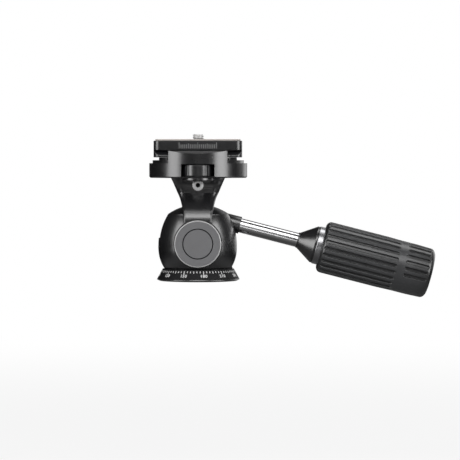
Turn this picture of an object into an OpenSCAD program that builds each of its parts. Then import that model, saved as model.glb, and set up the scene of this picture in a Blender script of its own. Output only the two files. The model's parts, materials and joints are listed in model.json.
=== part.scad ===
// Window mount head: a two-way pan and tilt head with one handle and a jaw clamp for a quick plate.
// The origin is the centre of the base's underside, on the pan axis. +Z is up, the tilt axis runs
// along Y, and the handle points towards +X. Lengths are in millimetres, angles in degrees.

/* [Base] */
// Radius of the scale ring at its widest
ring_r = 23.6; // [22.5:0.1:26]
// Radius of the scale ring's underside
ring_foot_r = 22; // [20.5:0.1:22.4]
// Height of the widest line above the underside
ring_lip_h = 1.1; // [0.6:0.1:2]
// Radius of the scale ring's top
ring_top_r = 20.3; // [19.8:0.1:21]
// Height of the scale ring
ring_h = 6.8; // [6.4:0.1:8]
// Radius of the mounting thread, 3/8 inch
thread_r = 4.7625; // [3.2:0.0001:4.8]
// Outer radius of the thread bush
thread_bush_r = 7; // [6:0.1:7.5]
// Thickness of the friction washer under the housing
pan_washer_t = 0.35; // [0.2:0.05:0.6]

/* [Housing] */
// Greatest radius of the barrel
barrel_r = 22.75; // [21.5:0.05:24]
// Height of the barrel from its underside to the edge of the dome
barrel_h = 30.9; // [29.5:0.1:33]
// Radius of the arc above the barrel's waist
barrel_upper_arc = 34.7; // [30:0.1:45]
// Radius of the arc below the barrel's waist
barrel_lower_arc = 21; // [19:0.1:30]
// Radius of the dome
dome_r = 31; // [29:0.5:36]
// Height of the tilt axis above the underside of the base
pivot_z = 21.5; // [21:0.1:22.5]
// Width of the slot that the handle swings in
slot_w = 11.6; // [10.6:0.1:12.6]
// Radius of the round side pockets
pocket_r = 13.7; // [13.6:0.1:14.4]
// Depth of a side pocket below the barrel's greatest radius
pocket_depth = 5.85; // [5.35:0.05:7.2]
// Radius of the bore in the underside
pan_bore_r = 14; // [13:0.1:15]
// Depth of the bore in the underside
pan_bore_h = 4.7; // [4.2:0.1:4.9]

/* [Tilt axle] */
// Radius of the tilt axle
axle_r = 4; // [3.5:0.1:4.4]
// Outer radius of the axle bushes
bush_r = 5.5; // [5:0.1:6.5]
// Tilt range towards the side away from the handle
tilt_left = 90; // [60:1:90]
// Tilt range towards the handle
tilt_right = 47; // [30:1:47]

/* [Yoke] */
// Radius of the round eyes that sit in the side pockets
eye_r = 13; // [12.8:0.1:13.5]
// Depth of an eye's outer face below the barrel's greatest radius
eye_inset = 1.55; // [1.35:0.05:1.95]
// Half width of the yoke at the top, seen along the tilt axis
yoke_top_half_w = 15.4; // [13.5:0.1:17]
// Half width of an arm where it meets its eye
arm_half_w = 8.1; // [7:0.1:9]
// Step from the edge of the clamp in to the top of the yoke, seen from the side
yoke_top_step = 11.4; // [10:0.1:12.4]
// Step from the edge of the clamp in to the yoke's waist, seen from the side
waist_step = 15.9; // [14.4:0.1:17.4]
// Depth of an arm's lower end below the barrel's greatest radius
arm_inset = 0.55; // [0.15:0.05:0.95]
// Thickness of an arm at its lower end
arm_t = 2.5; // [2.2:0.05:2.7]
// Gap from the barrel's greatest radius to the hollow that clears it
hollow_gap = 2.35; // [2.15:0.05:2.85]
// Height of the yoke's top above the underside of the base
yoke_top_z = 58.6; // [57:0.1:61]

/* [Side caps] */
// Radius of a side cap
cap_r = 13.2; // [13:0.1:13.9]
// Thickness of a side cap
cap_t = 1.1; // [0.9:0.1:1.6]
// Radius of the inlay in a side cap
inlay_r = 8.1; // [6:0.05:10]
// Thickness of the inlay
inlay_t = 0.5; // [0.3:0.05:0.6]

/* [Clamp] */
// Wall of the round clamp body outside the plate
clamp_wall = 8.9; // [8:0.1:11]
// Height of the round clamp body
clamp_h = 8.3; // [8.3:0.1:9.5]
// Width of the step round the top of the clamp body
deck_step = 1.9; // [0.9:0.1:2.9]
// Height of the step
deck_h = 1.7; // [1.5:0.1:2.4]
// Height of the land that carries the plate
land_h = 1.4; // [1:0.1:2]
// Half length of the land along the plate
land_half_l = 22; // [19:0.1:23]
// Half length of a jaw
jaw_half_l = 16.7; // [14:0.1:18]
// Drop of the bevel on the front of the fixed jaw
jaw_bevel = 1.4; // [0.4:0.1:2]
// Travel of the moving jaw
jaw_travel = 2.5; // [1:0.1:2.6]
// Radius of the fluted wheel
wheel_r = 9.2; // [8.6:0.1:9.4]
// Height of the fluted wheel
wheel_h = 6.8; // [6:0.1:6.8]
// Number of flutes
flutes = 10; // [8:1:14]
// Turn of the wheel between clamped and open
wheel_turn = 180; // [120:5:200]

/* [Plate] */
// Length of the plate
plate_l = 50; // [46:0.5:60]
// Width of the plate
plate_w = 38; // [37.6:0.1:38.2]
// Thickness of the plate's slab
slab_t = 5.3; // [4.5:0.1:7]
// Corner radius of the plate
plate_corner = 4; // [2:0.5:6]
// Height of the straight lip below the dovetail
lip_h = 1.1; // [0.6:0.1:1.4]
// Depth of the dovetail's 45 degree sides
dovetail = 3; // [2.4:0.1:3.2]
// Thickness of the pad
pad_t = 0.9; // [0.6:0.1:1.5]
// Inset of the pad from the edge of the slab
pad_inset = 1; // [0.5:0.1:2]
// Radius of the camera screw, 1/4 inch
screw_r = 3.175; // [3:0.005:3.3]
// Height of the camera screw above the pad
screw_h = 2.9; // [2:0.1:5]
// Travel of the camera screw each way from the middle
screw_travel = 8; // [4:0.5:9]

/* [Handle] */
// Droop of the handle below level
handle_droop = 14.4; // [10:0.1:18]
// Distance from the tilt axis to the handle's axis
handle_offset = 15.6; // [15.4:0.1:16]
// Radius of the hub's boss
boss_r = 4.9; // [4.7:0.1:5.1]
// Distance from the foot of the handle's axis to the end of the boss
boss_end = 20.6; // [18:0.1:23]
// Radius of the handle rod
rod_r = 4.1; // [3.6:0.1:4.2]
// Distance from the foot to the ferrule
ferrule_start = 54.2; // [45:0.1:70]
// Length of the ferrule's cone
ferrule_l = 11.1; // [8:0.1:14]
// Radius of the ferrule's wide end
ferrule_r = 10.5; // [9:0.1:11.5]
// Length of the metal ring
metal_ring_l = 3.1; // [2:0.1:5]
// Radius of the metal ring
metal_ring_r = 10.85; // [9.5:0.05:12]
// Length of the grip
grip_l = 64.7; // [55:0.1:80]
// Radius of the grip
grip_r = 14.8; // [13.5:0.1:16.5]
// Number of grooves round the grip
grip_grooves = 24; // [16:1:26]
// Radius of the rounded bottom of a groove
groove_r = 0.95; // [0.5:0.05:1]
// Length of the grooves nearer the head
groove_near_l = 44; // [36:0.1:46]
// Length of the smooth band between the grooves
groove_band_l = 4.5; // [2:0.1:8]
// Length of the grooves nearer the end
groove_far_l = 12; // [8:0.1:12.2]
// Thickness of the grip's rubber
rubber_t = 3.3; // [2.4:0.1:4]

/* [Hidden] */
$fn = 96;
over = 1;               // overrun of every cut past the face that it opens
run_fit = 0.05;         // radial clearance of a shaft that turns or slides in its bore
slip = 0.1;             // clearance between flat faces that slide past each other
air = 0.3;              // clearance between faces that pass without touching
chamfer = 0.3;          // small chamfer on machined edges
far = 80;               // reach of the cuts that pass right through the part

// Base
ring_bore_r = thread_bush_r;
spindle_foot_r = 13;
spindle_foot_h = 2.5;
spindle_shaft_r = 8;
spindle_flange_r = 11.5;
spindle_flange_h = 1.9;
spindle_bore_r = 5;
foot_screw_r = 1.5;
foot_screw_head_r = 2.8;
foot_screw_head_h = 1.6;
foot_socket_r = 1.2;
foot_screw_pcr = 10.4;
foot_screws = 3;
pan_washer_r = 18.8;
foot_floor_z = ring_h - spindle_foot_h;
washer_top_z = ring_h + pan_washer_t;

// Housing
pocket_floor = barrel_r - pocket_depth;
housing_z = washer_top_z + run_fit;
rim_z = housing_z + barrel_h;
waist_low_z = 18.5;
waist_high_z = 20.5;
pan_roof_z = housing_z + pan_bore_h;
arc_steps = 12;
eye_y = barrel_r - eye_inset;
drag_z = 19.2;
drag_screw_r = 1.4;
drag_screw_l = 7;
drag_plug_r = 1.2;
drag_socket_r = 0.8;
drag_socket_depth = 1.6;
washer_bush_gap = slip;
eye_inner_y = pocket_floor + 0.3;

// Tilt axle and hub
hub_r = 8;
hub_w = slot_w - 2 * air;
hub_room_r = hub_r + 0.4;
hub_pin_r = 1.25;
axle_flat = 5.8;
axle_end_r = 3.6;
axle_end_y = eye_y - 1.2;
axle_screw_r = 2;
axle_screw_head_r = 3.8;
axle_screw_head_h = 1;
axle_screw_l = 9;
axle_socket_r = 1.4;
boss_back = 2.5;
web_front = 4;
pad_r = 2.4;
pad_tip_y = 1.7;
rod_tip_r = 0.5;
rod_cone_r = 1.4;
rod_cone_start = -1.2;
rod_thread_start = 2.6;
rod_thread_r = 3;
rod_thread_end = 9;
rod_end = 100;

// Yoke
clamp_r = plate_w / 2 + clamp_wall;
deck_r = clamp_r - deck_step;
wheel_y = clamp_r - wheel_r;
yoke_top_half_d = clamp_r - yoke_top_step;
waist_half_d = clamp_r - waist_step;
arm_half_d = barrel_r - arm_inset;
arm_inner_y = arm_half_d - arm_t;
hollow_r = barrel_r + hollow_gap;
arm_end_z = 33.5;
// Shares of the height from the arm's end to the top, with shares of the way
// from the narrow half width to the wide one
yoke_side_shares = [[0, 0.03], [0.16, 0], [0.37, 0.12], [0.47, 0.25], [0.61, 0.32], [0.8, 0.71],
    [0.93, 0.88], [0.97, 1], [1, 1]];
// Shares of the same height, with shares of the way from the waist out to the arm's end
arm_depth_shares = [[0, 1], [0.1, 0.96], [0.26, 0.72], [0.42, 0.42], [0.58, 0.13], [0.7, 0]];
// Shares of the same height, with shares of the way from the waist out to the top
neck_depth_shares = [[0.84, 0.12], [0.93, 0.5], [0.97, 0.85], [1, 1]];
recess_r = cap_r + 0.8;
wheel_seat_r = 8.8;
wheel_seat_low_r = 7;
wheel_seat_h = 2.4;
neck_screw_drop = 4.1; // from the top of the yoke down to the neck screw
neck_screw_z = yoke_top_z - neck_screw_drop;
neck_screw_r = 2;
neck_screw_head_r = 3.3;
neck_screw_head_h = 2.6;
neck_screw_to_wheel = 6; // from the neck screw's seat to the wheel's axis
neck_screw_seat_y = wheel_y - neck_screw_to_wheel;
neck_screw_tip_gap = 0.05;
neck_socket_r = 1.7;
neck_socket_depth = 1.5;

// Side caps
groove_w = 0.35;
cap_chamfer = 0.35;

// Clamp
clamp_chamfer = 0.7;
deck_z = yoke_top_z + clamp_h + deck_h;
land_z = deck_z + land_h;
clamp_top_z = yoke_top_z + clamp_h;
plate_z = land_z + 0.2;
jaw_top_z = plate_z + lip_h + dovetail - 0.4;
land_half_w = plate_w / 2 - slip;
jaw_bevel_share = 0.96; // how much of the fixed jaw's length its bevel takes
wheel_z = yoke_top_z + 0.8;
wheel_room_r = wheel_r + 0.3;
window_half_w = wheel_r + 0.1;
wheel_roof_z = wheel_z + wheel_h + 0.2;
wheel_chamfer = 0.6;
wheel_pin_r = 2;
wheel_pin_sunk = 2;
wheel_pin_top_gap = 0.6;
flute_r = 1.9;
flute_out = 0.75;
scroll_r = 4;
scroll_half_w = 1.15;
scroll_depth = 2;
scroll_margin = 20;
scroll_steps = 26;
jaw_pin_r = 1;
jaw_pin_l = 1.8;
bar_half_w = 7.9;
bar_front = 2.8;
bar_hole_r = 3;
jaw_foot_z = 1.9;
jaw_t = 6.9; // from the back of the moving jaw's lower block to its round front
jaw_back_y = clamp_r - jaw_t;
bolt_head_gap = 2.8; // from the clamp bolt's head to the room for the wheel
bolt_head_r = wheel_y - wheel_room_r - bolt_head_gap;
bolt_share = 0.625;
bolt_socket_share = 0.53125;
bolt_r = bolt_head_r * bolt_share;
bolt_head_h = 4.4;
bolt_socket_r = bolt_head_r * bolt_socket_share;
bolt_socket_depth = 2.4;
bolt_sunk = 10;
guide_x = 12;
guide_z = 4.9;
guide_r = 1.5;
guide_l = 12;
guide_sunk = 3.6;
spring_r = 2.5;
spring_wall = 0.5;
spring_l = 8;
side_screw_r = 1.5;
side_screw_l = 5;
side_screw_sunk = 0.8;
side_screw_z = 4.8;
side_socket_r = 0.8;

// Plate
slab_z = plate_z + lip_h + dovetail;
slab_top_z = slab_z + slab_t;
pad_top_z = slab_top_z + pad_t;
slab_chamfer = 0.5;
waist_half_w = plate_w / 2 - dovetail;
slot_clear = 0.2;
carrier_r = 7;
carrier_h = 2.9;
carrier_gap = slip;
track_roof_z = slab_z + 1.7;
knob_r = 6.2;
knob_h = 2.2;
knob_slot_w = 1.4;
knob_slot_depth = 1;
screw_point = 0.6;
shank_r = 2.5;          // undercut that keeps the camera screw in its carrier
shank_rise = 0.2;

// Handle
ferrule_nose_r = 4.4;
ferrule_nose_l = 0.8;
ferrule_lip_l = 1.2;
ring_start = ferrule_start + ferrule_l;
grip_start = ring_start + metal_ring_l;
grip_end = grip_start + grip_l;
grip_round = 3;
grip_end_crown = 0.8;
grip_taper = 0.5;
groove_start = grip_start + 1.4;
groove_cut_depth = 1;
core_r = grip_r - rubber_t;
core_end = grip_end - 2.2;
grip_screw_r = 2;
grip_screw_head_r = 3.4;
grip_screw_head_h = 3;
grip_screw_l = 16;

black = [0.05, 0.05, 0.055];
satin_grey = [0.24, 0.24, 0.25];
steel = [0.75, 0.76, 0.78];
brass = [0.72, 0.58, 0.32];
rubber = [0.13, 0.13, 0.14];
pad_grey = [0.75, 0.72, 0.71];
nylon = [0.9, 0.9, 0.86];

// Points of an arc from angle a to angle b
function arc(centre, r, a, b, steps = arc_steps) =
    [for (i = [0:steps]) let (t = a + (b - a) * i / steps) centre + r * [cos(t), sin(t)]];
// A share of the way from a to b
function part_way(a, b, share) = a + (b - a) * share;
// Unit vectors from the tilt axis to the foot of the handle's axis, and along that axis,
// when the foot lies in the given direction
function outward(a) = [cos(a), sin(a)];
function along(a) = [sin(a), -cos(a)];

module both_sides() {
    children();
    mirror([0, 1, 0]) children();
}
// A round bar about the tilt axis, from y_low to y_high
module tilt_disc(r, y_low, y_high) {
    translate([0, y_high, pivot_z]) rotate([90, 0, 0]) cylinder(r = r, h = y_high - y_low);
}
// A turned solid about the tilt axis; the outline's second value is the distance from the middle
module tilt_turned(outline) {
    translate([0, 0, pivot_z]) rotate([90, 0, 0]) rotate_extrude() polygon(outline);
}
// A bar along X, from x_low to x_high
module bar_x(r, x_low, x_high) {
    translate([x_low, 0, 0]) rotate([0, 90, 0]) cylinder(r = r, h = x_high - x_low);
}
// A bar along Y, from y_low to y_high
module bar_y(r, y_low, y_high) {
    translate([0, y_high, 0]) rotate([90, 0, 0]) cylinder(r = r, h = y_high - y_low);
}
module tube(r, bore, h) {
    difference() {
        cylinder(r = r, h = h);
        translate([0, 0, -over]) cylinder(r = bore, h = h + 2 * over);
    }
}
module slab(half_l, half_w, z_low, z_high) {
    translate([-half_l, -half_w, z_low]) cube([2 * half_l, 2 * half_w, z_high - z_low]);
}
// The handle's own frame: +X runs along its axis from the foot
module handle_frame() {
    translate([0, 0, pivot_z]) rotate([0, handle_droop, 0]) translate([0, 0, handle_offset]) children();
}
module handle_turned(outline) {
    handle_frame() rotate([0, 90, 0]) rotate_extrude() polygon(outline);
}

// Base
module base_ring() {
    color(black) difference() {
        rotate_extrude() polygon([[0, 0], [ring_foot_r, 0], [ring_r, ring_lip_h - chamfer],
            [ring_r, ring_lip_h], [ring_top_r, ring_h], [0, ring_h]]);
        translate([0, 0, -over]) cylinder(r = ring_bore_r, h = ring_h + 2 * over);
        translate([0, 0, foot_floor_z]) cylinder(r = spindle_foot_r, h = ring_h);
        foot_screw_places() {
            translate([0, 0, -over]) cylinder(r = foot_screw_r, h = ring_h);
            translate([0, 0, -over]) cylinder(r = foot_screw_head_r + slip, h = over + foot_screw_head_h);
        }
    }
}
module foot_screw_places() {
    for (i = [0:foot_screws - 1]) rotate(i * 360 / foot_screws) translate([foot_screw_pcr, 0, 0]) children();
}
module thread_bush() {
    color(steel) tube(thread_bush_r, thread_r, foot_floor_z + spindle_foot_h - slip);
}
module pan_spindle() {
    color(steel) difference() {
        rotate_extrude() polygon([[thread_bush_r, foot_floor_z], [spindle_foot_r, foot_floor_z],
            [spindle_foot_r, ring_h], [spindle_shaft_r, ring_h],
            [spindle_shaft_r, pan_roof_z - slip - spindle_flange_h],
            [spindle_flange_r, pan_roof_z - slip - spindle_flange_h],
            [spindle_flange_r, pan_roof_z - slip], [spindle_bore_r, pan_roof_z - slip],
            [spindle_bore_r, ring_h], [thread_bush_r, ring_h]]);
        foot_screw_places() translate([0, 0, foot_floor_z - over])
            cylinder(r = foot_screw_r, h = over + spindle_foot_h - chamfer);
    }
}
module spindle_screws() {
    color(steel) foot_screw_places() difference() {
        union() {
            translate([0, 0, chamfer]) cylinder(r = foot_screw_head_r, h = foot_screw_head_h - chamfer);
            cylinder(r = foot_screw_r, h = foot_floor_z + spindle_foot_h - chamfer);
        }
        translate([0, 0, -over]) cylinder(r = foot_socket_r, h = over + foot_screw_head_h - chamfer, $fn = 6);
    }
}
module pan_washer() {
    color(nylon) translate([0, 0, ring_h]) tube(pan_washer_r, spindle_shaft_r + air, pan_washer_t);
}

// Housing: a barrel of two arcs under a dome
function barrel_outline() =
    let (upper = [barrel_r - barrel_upper_arc, waist_high_z],
         lower = [barrel_r - barrel_lower_arc, waist_low_z],
         low_turn = asin((waist_low_z - housing_z) / barrel_lower_arc),
         high_turn = asin((rim_z - waist_high_z) / barrel_upper_arc),
         rim_r = upper[0] + barrel_upper_arc * cos(high_turn),
         dome_turn = asin(rim_r / dome_r),
         dome_centre = [0, rim_z - dome_r * cos(dome_turn)])
    concat([[0, housing_z]],
        [for (p = arc(lower, barrel_lower_arc, -low_turn, 0)) p],
        arc(upper, barrel_upper_arc, 0, high_turn),
        [for (i = [1:arc_steps]) let (t = dome_turn * (1 - i / arc_steps))
            dome_centre + dome_r * [sin(t), cos(t)]]);
// Directions of the handle's foot at the two ends of the tilt
foot_right = 90 - handle_droop - tilt_right;
foot_left = 90 - handle_droop + tilt_left;
// The slot in the plane of the swing: all that the hub, its web and its boss pass through
module swing_outline() {
    web_low = handle_offset - boss_r - air;
    back = -boss_back - air;
    front = web_front + air;
    circle(r = hub_room_r);
    polygon([[0, 0], back * along(foot_left), back * along(foot_left) + far * outward(foot_left),
        far * [0, 1.2], far * [1.2, 1.2], far * [1.2, -1.2] + web_low * outward(foot_right),
        web_low * outward(foot_right) + far * along(foot_right),
        web_low * outward(foot_right) + front * along(foot_right), front * along(foot_right)]);
}
module housing() {
    color(black) difference() {
        rotate_extrude() polygon(barrel_outline());
        translate([0, slot_w / 2, pivot_z]) rotate([90, 0, 0]) linear_extrude(slot_w) swing_outline();
        both_sides() tilt_disc(pocket_r, -far, -pocket_floor);
        tilt_disc(bush_r, -pocket_floor - over, pocket_floor + over);
        translate([0, 0, housing_z - over]) cylinder(r = pan_bore_r, h = over + pan_bore_h);
        translate([0, 0, drag_z]) bar_x(drag_screw_r, -far, -hub_r - over);
        translate([0, 0, drag_z]) bar_x(drag_screw_r, -hub_r - 2 * over, -hub_r + over);
    }
}
module pan_retaining_ring() {
    low = housing_z + slip;
    high = pan_roof_z - 2 * slip - spindle_flange_h;
    color(steel) translate([0, 0, low]) difference() {
        tube(pan_bore_r - run_fit, spindle_shaft_r + run_fit, high - low);
        for (a = [0, 180]) rotate(a) translate([(pan_bore_r + spindle_shaft_r) / 2, 0, -over])
            cylinder(r = drag_screw_r, h = over + (high - low) / 2);
    }
}
module tilt_bush() {
    y_low = slot_w / 2 + slip;
    color(brass) difference() {
        tilt_disc(bush_r - run_fit, -pocket_floor, -y_low);
        tilt_disc(axle_r + run_fit, -pocket_floor - over, -y_low + over);
    }
}
module tilt_bush_front() { tilt_bush(); }
module tilt_bush_rear() { mirror([0, 1, 0]) tilt_bush(); }
module tilt_washers() {
    color(nylon) both_sides() difference() {
        tilt_disc(eye_r - over, -eye_inner_y + run_fit, -pocket_floor);
        tilt_disc(bush_r + air, -far, far);
    }
}
module tilt_drag_screw() {
    head_x = -barrel_r - run_fit;
    color(steel) translate([0, 0, drag_z]) difference() {
        bar_x(drag_screw_r - run_fit, head_x, head_x + drag_screw_l);
        translate([head_x - over, 0, 0]) rotate([0, 90, 0])
            cylinder(r = drag_socket_r, h = over + drag_socket_depth, $fn = 6);
    }
}
module drag_plug() {
    color(nylon) translate([0, 0, drag_z])
        bar_x(drag_plug_r, -barrel_r - run_fit + drag_screw_l, -hub_r - slip);
}

// Yoke
function yoke_z(share) = part_way(arm_end_z, yoke_top_z, share);
module yoke_front_outline() {
    right = [for (s = yoke_side_shares) [part_way(arm_half_w, yoke_top_half_w, s[1]), yoke_z(s[0])]];
    left = [for (i = [len(right) - 1:-1:0]) [-right[i][0], right[i][1]]];
    polygon(concat(right, left));
}
module yoke_side_outline() {
    out = concat([for (s = arm_depth_shares) [part_way(waist_half_d, arm_half_d, s[1]), yoke_z(s[0])]],
        [for (s = neck_depth_shares) [part_way(waist_half_d, yoke_top_half_d, s[1]), yoke_z(s[0])]]);
    back = [for (i = [len(out) - 1:-1:0]) [-out[i][0], out[i][1]]];
    polygon(concat(out, back));
}
module yoke() {
    color(black) difference() {
        union() {
            difference() {
                intersection() {
                    translate([0, far / 2, 0]) rotate([90, 0, 0]) linear_extrude(far) yoke_front_outline();
                    translate([-far / 2, 0, 0]) rotate([90, 0, 90]) linear_extrude(far) yoke_side_outline();
                }
                hollow();
            }
            both_sides() tilt_disc(eye_r, -eye_y, -eye_inner_y);
            both_sides() translate([-arm_half_w, -eye_y, pivot_z])
                cube([2 * arm_half_w, eye_y - arm_inner_y, recess_r]);
            translate([0, -wheel_y, yoke_top_z - wheel_seat_h])
                cylinder(r1 = wheel_seat_low_r, r2 = wheel_seat_r, h = wheel_seat_h);
        }
        both_sides() tilt_disc(recess_r, -far, -eye_y);
        both_sides() difference() {
            tilt_disc(axle_end_r, -far, -eye_inner_y + over);
            translate([-axle_end_r - over, -far, pivot_z + axle_flat / 2]) cube(far);
            translate([-axle_end_r - over, -far, pivot_z - axle_flat / 2 - far]) cube(far);
            tilt_disc(far, -far, -axle_end_y);
        }
        both_sides() tilt_disc(axle_screw_r, -far, -axle_end_y + over);
        both_sides() tilt_disc(axle_screw_head_r + slip, -far, -axle_end_y - 0.2);
        translate([0, 0, yoke_top_z - bolt_sunk]) cylinder(r = bolt_r, h = bolt_sunk + over);
        translate([0, -wheel_y, yoke_top_z - wheel_pin_sunk]) cylinder(r = wheel_pin_r, h = far);
        translate([0, 0, neck_screw_z]) bar_y(neck_screw_r, -far, 0);
        translate([0, 0, neck_screw_z]) bar_y(neck_screw_head_r + slip, -far, -neck_screw_seat_y);
    }
}
// The room for the housing between the arms
module hollow() {
    intersection() {
        translate([0, 0, pivot_z]) sphere(r = hollow_r, $fn = 128);
        translate([-far / 2, -arm_inner_y, pivot_z - far / 2]) cube([far, 2 * arm_inner_y, far]);
    }
}
module tilt_axle() {
    color(steel) difference() {
        union() {
            tilt_disc(axle_r, -eye_inner_y + slip, eye_inner_y - slip);
            intersection() {
                tilt_disc(axle_end_r, -axle_end_y, axle_end_y);
                translate([-axle_r, -far / 2, pivot_z - axle_flat / 2]) cube([2 * axle_r, far, axle_flat]);
            }
        }
        both_sides() tilt_disc(axle_screw_r, -far, -axle_end_y + axle_screw_l);
        translate([0, 0, pivot_z - hub_r - over]) cylinder(r = hub_pin_r, h = 2 * hub_r);
    }
}
module axle_screws() {
    color(steel) both_sides() difference() {
        union() {
            tilt_disc(axle_screw_r, -axle_end_y, -axle_end_y + axle_screw_l - slip);
            tilt_disc(axle_screw_head_r, -axle_end_y - axle_screw_head_h, -axle_end_y - 0.2);
            tilt_disc(axle_screw_r, -axle_end_y - 0.2, -axle_end_y);
        }
        translate([0, -axle_end_y - axle_screw_head_h + 0.6, pivot_z]) rotate([90, 0, 0])
            cylinder(r = axle_socket_r, h = over, $fn = 6);
    }
}
module handle_hub() {
    color(satin_grey) difference() {
        union() {
            tilt_disc(hub_r, -hub_w / 2, hub_w / 2);
            handle_frame() translate([-boss_back, -hub_w / 2 + air, -handle_offset])
                cube([boss_back + web_front, hub_w - 2 * air, handle_offset]);
            handle_frame() bar_x(boss_r, -boss_back, boss_end);
        }
        tilt_disc(axle_r, -far, far);
        translate([0, 0, pivot_z - hub_r - over]) cylinder(r = hub_pin_r, h = hub_r);
        handle_frame() bar_x(rod_thread_r + run_fit, -over, rod_thread_end + over);
        handle_frame() bar_x(rod_r + run_fit, rod_thread_end, boss_end + over);
        handle_frame() bar_y(pad_r + run_fit, -far, far);
    }
}
module hub_pin() {
    color(steel) translate([0, 0, pivot_z - hub_r + chamfer])
        cylinder(r = hub_pin_r, h = hub_r + axle_r / 2);
}
module brake_pads() {
    color(brass) handle_frame() both_sides() bar_y(pad_r, -hub_w / 2 - air / 2, -pad_tip_y);
}

// Side caps
module side_cap() {
    outer = eye_y + cap_t;
    color(satin_grey) difference() {
        tilt_turned([[0, eye_y], [cap_r, eye_y], [cap_r, outer - cap_chamfer],
            [cap_r - cap_chamfer, outer], [0, outer]]);
        tilt_turned([[0, outer - inlay_t], [inlay_r + groove_w, outer - inlay_t],
            [inlay_r + groove_w, outer + over], [0, outer + over]]);
        tilt_disc(axle_screw_r, -far, 0);
    }
}
module side_cap_front() { side_cap(); }
module side_cap_rear() { mirror([0, 1, 0]) side_cap(); }
module cap_inlay() {
    color(satin_grey) tilt_disc(inlay_r, -eye_y - cap_t, -eye_y - cap_t + inlay_t);
}
module cap_inlay_front() { cap_inlay(); }
module cap_inlay_rear() { mirror([0, 1, 0]) cap_inlay(); }

// Clamp
// The room for the plate between the jaws, seen along the plate
module plate_room() {
    translate([-far / 2, 0, 0]) rotate([90, 0, 90]) linear_extrude(far) {
        half = plate_w / 2 + slip;
        polygon([[-half, land_z], [half, land_z], [half, plate_z + lip_h],
            [half - dovetail - over, slab_z + over], [-half + dovetail + over, slab_z + over],
            [-half, plate_z + lip_h]]);
    }
}
module round_body(z_low, z_high) {
    translate([0, 0, z_low]) cylinder(r = clamp_r, h = z_high - z_low);
}
module jaw_block(z_low) {
    intersection() {
        round_body(z_low, jaw_top_z);
        translate([-jaw_half_l, plate_w / 2 - dovetail, z_low]) cube([2 * jaw_half_l, clamp_r, far]);
    }
}
module clamp_body() {
    bevel_run = clamp_r - sqrt(pow(clamp_r, 2) - pow(jaw_bevel_share * jaw_half_l, 2));
    color(black) difference() {
        union() {
            rotate_extrude() polygon([[0, yoke_top_z], [clamp_r - clamp_chamfer, yoke_top_z],
                [clamp_r, yoke_top_z + clamp_chamfer], [clamp_r, clamp_top_z],
                [deck_r, clamp_top_z], [deck_r, deck_z], [0, deck_z]]);
            intersection() {
                slab(land_half_l, land_half_w, yoke_top_z + clamp_chamfer, land_z);
                translate([0, 0, yoke_top_z + clamp_chamfer]) cylinder(r = deck_r, h = far);
            }
            mirror([0, 1, 0]) jaw_block(clamp_top_z - over);
        }
        plate_room();
        // Bevel along the top of the fixed jaw
        translate([0, -clamp_r, jaw_top_z - jaw_bevel]) rotate([atan(jaw_bevel / bevel_run), 0, 0])
            translate([-far / 2, -over, 0]) cube([far, far / 2, over + jaw_bevel * 2]);
        // Room for the wheel, open at the front
        translate([0, -wheel_y, wheel_z - slip]) cylinder(r = wheel_room_r, h = wheel_roof_z - wheel_z + slip);
        translate([-window_half_w, -far, wheel_z - slip])
            cube([2 * window_half_w, far - wheel_y, wheel_roof_z - wheel_z + slip]);
        translate([0, -wheel_y, yoke_top_z - over]) cylinder(r = wheel_pin_r, h = 3 * over);
        // Channel for the drawbar
        translate([-bar_half_w - slip, scroll_r - wheel_y - bar_front - air, wheel_roof_z])
            cube([2 * (bar_half_w + slip), far, far]);
        // Room for the moving jaw
        translate([-jaw_half_l - air / 2, jaw_back_y, yoke_top_z + jaw_foot_z - air])
            cube([2 * jaw_half_l + air, far, far]);
        translate([-jaw_half_l - air / 2, land_half_w, deck_z]) cube([2 * jaw_half_l + air, far, far]);
        // Clamp bolt
        translate([0, 0, yoke_top_z - over]) cylinder(r = bolt_r, h = far);
        translate([0, 0, wheel_roof_z - bolt_head_h - slip]) cylinder(r = bolt_head_r + slip, h = far);
        // Guide pins and their springs
        guide_places() {
            bar_y(guide_r + run_fit, jaw_back_y - guide_l - over, far);
            bar_y(spring_r + slip, jaw_back_y - spring_l, far);
        }
        // Side screw
        translate([0, 0, yoke_top_z + side_screw_z])
            bar_x(side_screw_r, clamp_r - side_screw_sunk - side_screw_l, far);
    }
}
module guide_places() {
    for (x = [-guide_x, guide_x]) translate([x, 0, yoke_top_z + guide_z]) children();
}
module clamp_bolt() {
    head_z = wheel_roof_z - bolt_head_h - slip;
    color(steel) difference() {
        union() {
            translate([0, 0, yoke_top_z - bolt_sunk + slip])
                cylinder(r = bolt_r, h = head_z - yoke_top_z + bolt_sunk);
            translate([0, 0, head_z]) cylinder(r = bolt_head_r, h = bolt_head_h - slip);
        }
        translate([0, 0, head_z + bolt_head_h - slip - bolt_socket_depth])
            cylinder(r = bolt_socket_r, h = bolt_socket_depth + over, $fn = 6);
    }
}
module neck_screw() {
    color(steel) translate([0, 0, neck_screw_z]) difference() {
        union() {
            bar_y(neck_screw_r, -neck_screw_seat_y, -bolt_r - neck_screw_tip_gap);
            bar_y(neck_screw_head_r, -neck_screw_seat_y - neck_screw_head_h, -neck_screw_seat_y);
        }
        translate([0, -neck_screw_seat_y - neck_screw_head_h + neck_socket_depth, 0]) rotate([90, 0, 0])
            cylinder(r = neck_socket_r, h = neck_socket_depth + over, $fn = 6);
    }
}
module side_screw() {
    head_x = clamp_r - side_screw_sunk;
    color(steel) translate([0, 0, yoke_top_z + side_screw_z]) difference() {
        bar_x(side_screw_r, head_x - side_screw_l, head_x);
        translate([head_x - neck_socket_depth, 0, 0]) rotate([0, 90, 0])
            cylinder(r = side_socket_r, h = neck_socket_depth + over, $fn = 6);
    }
}
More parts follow.
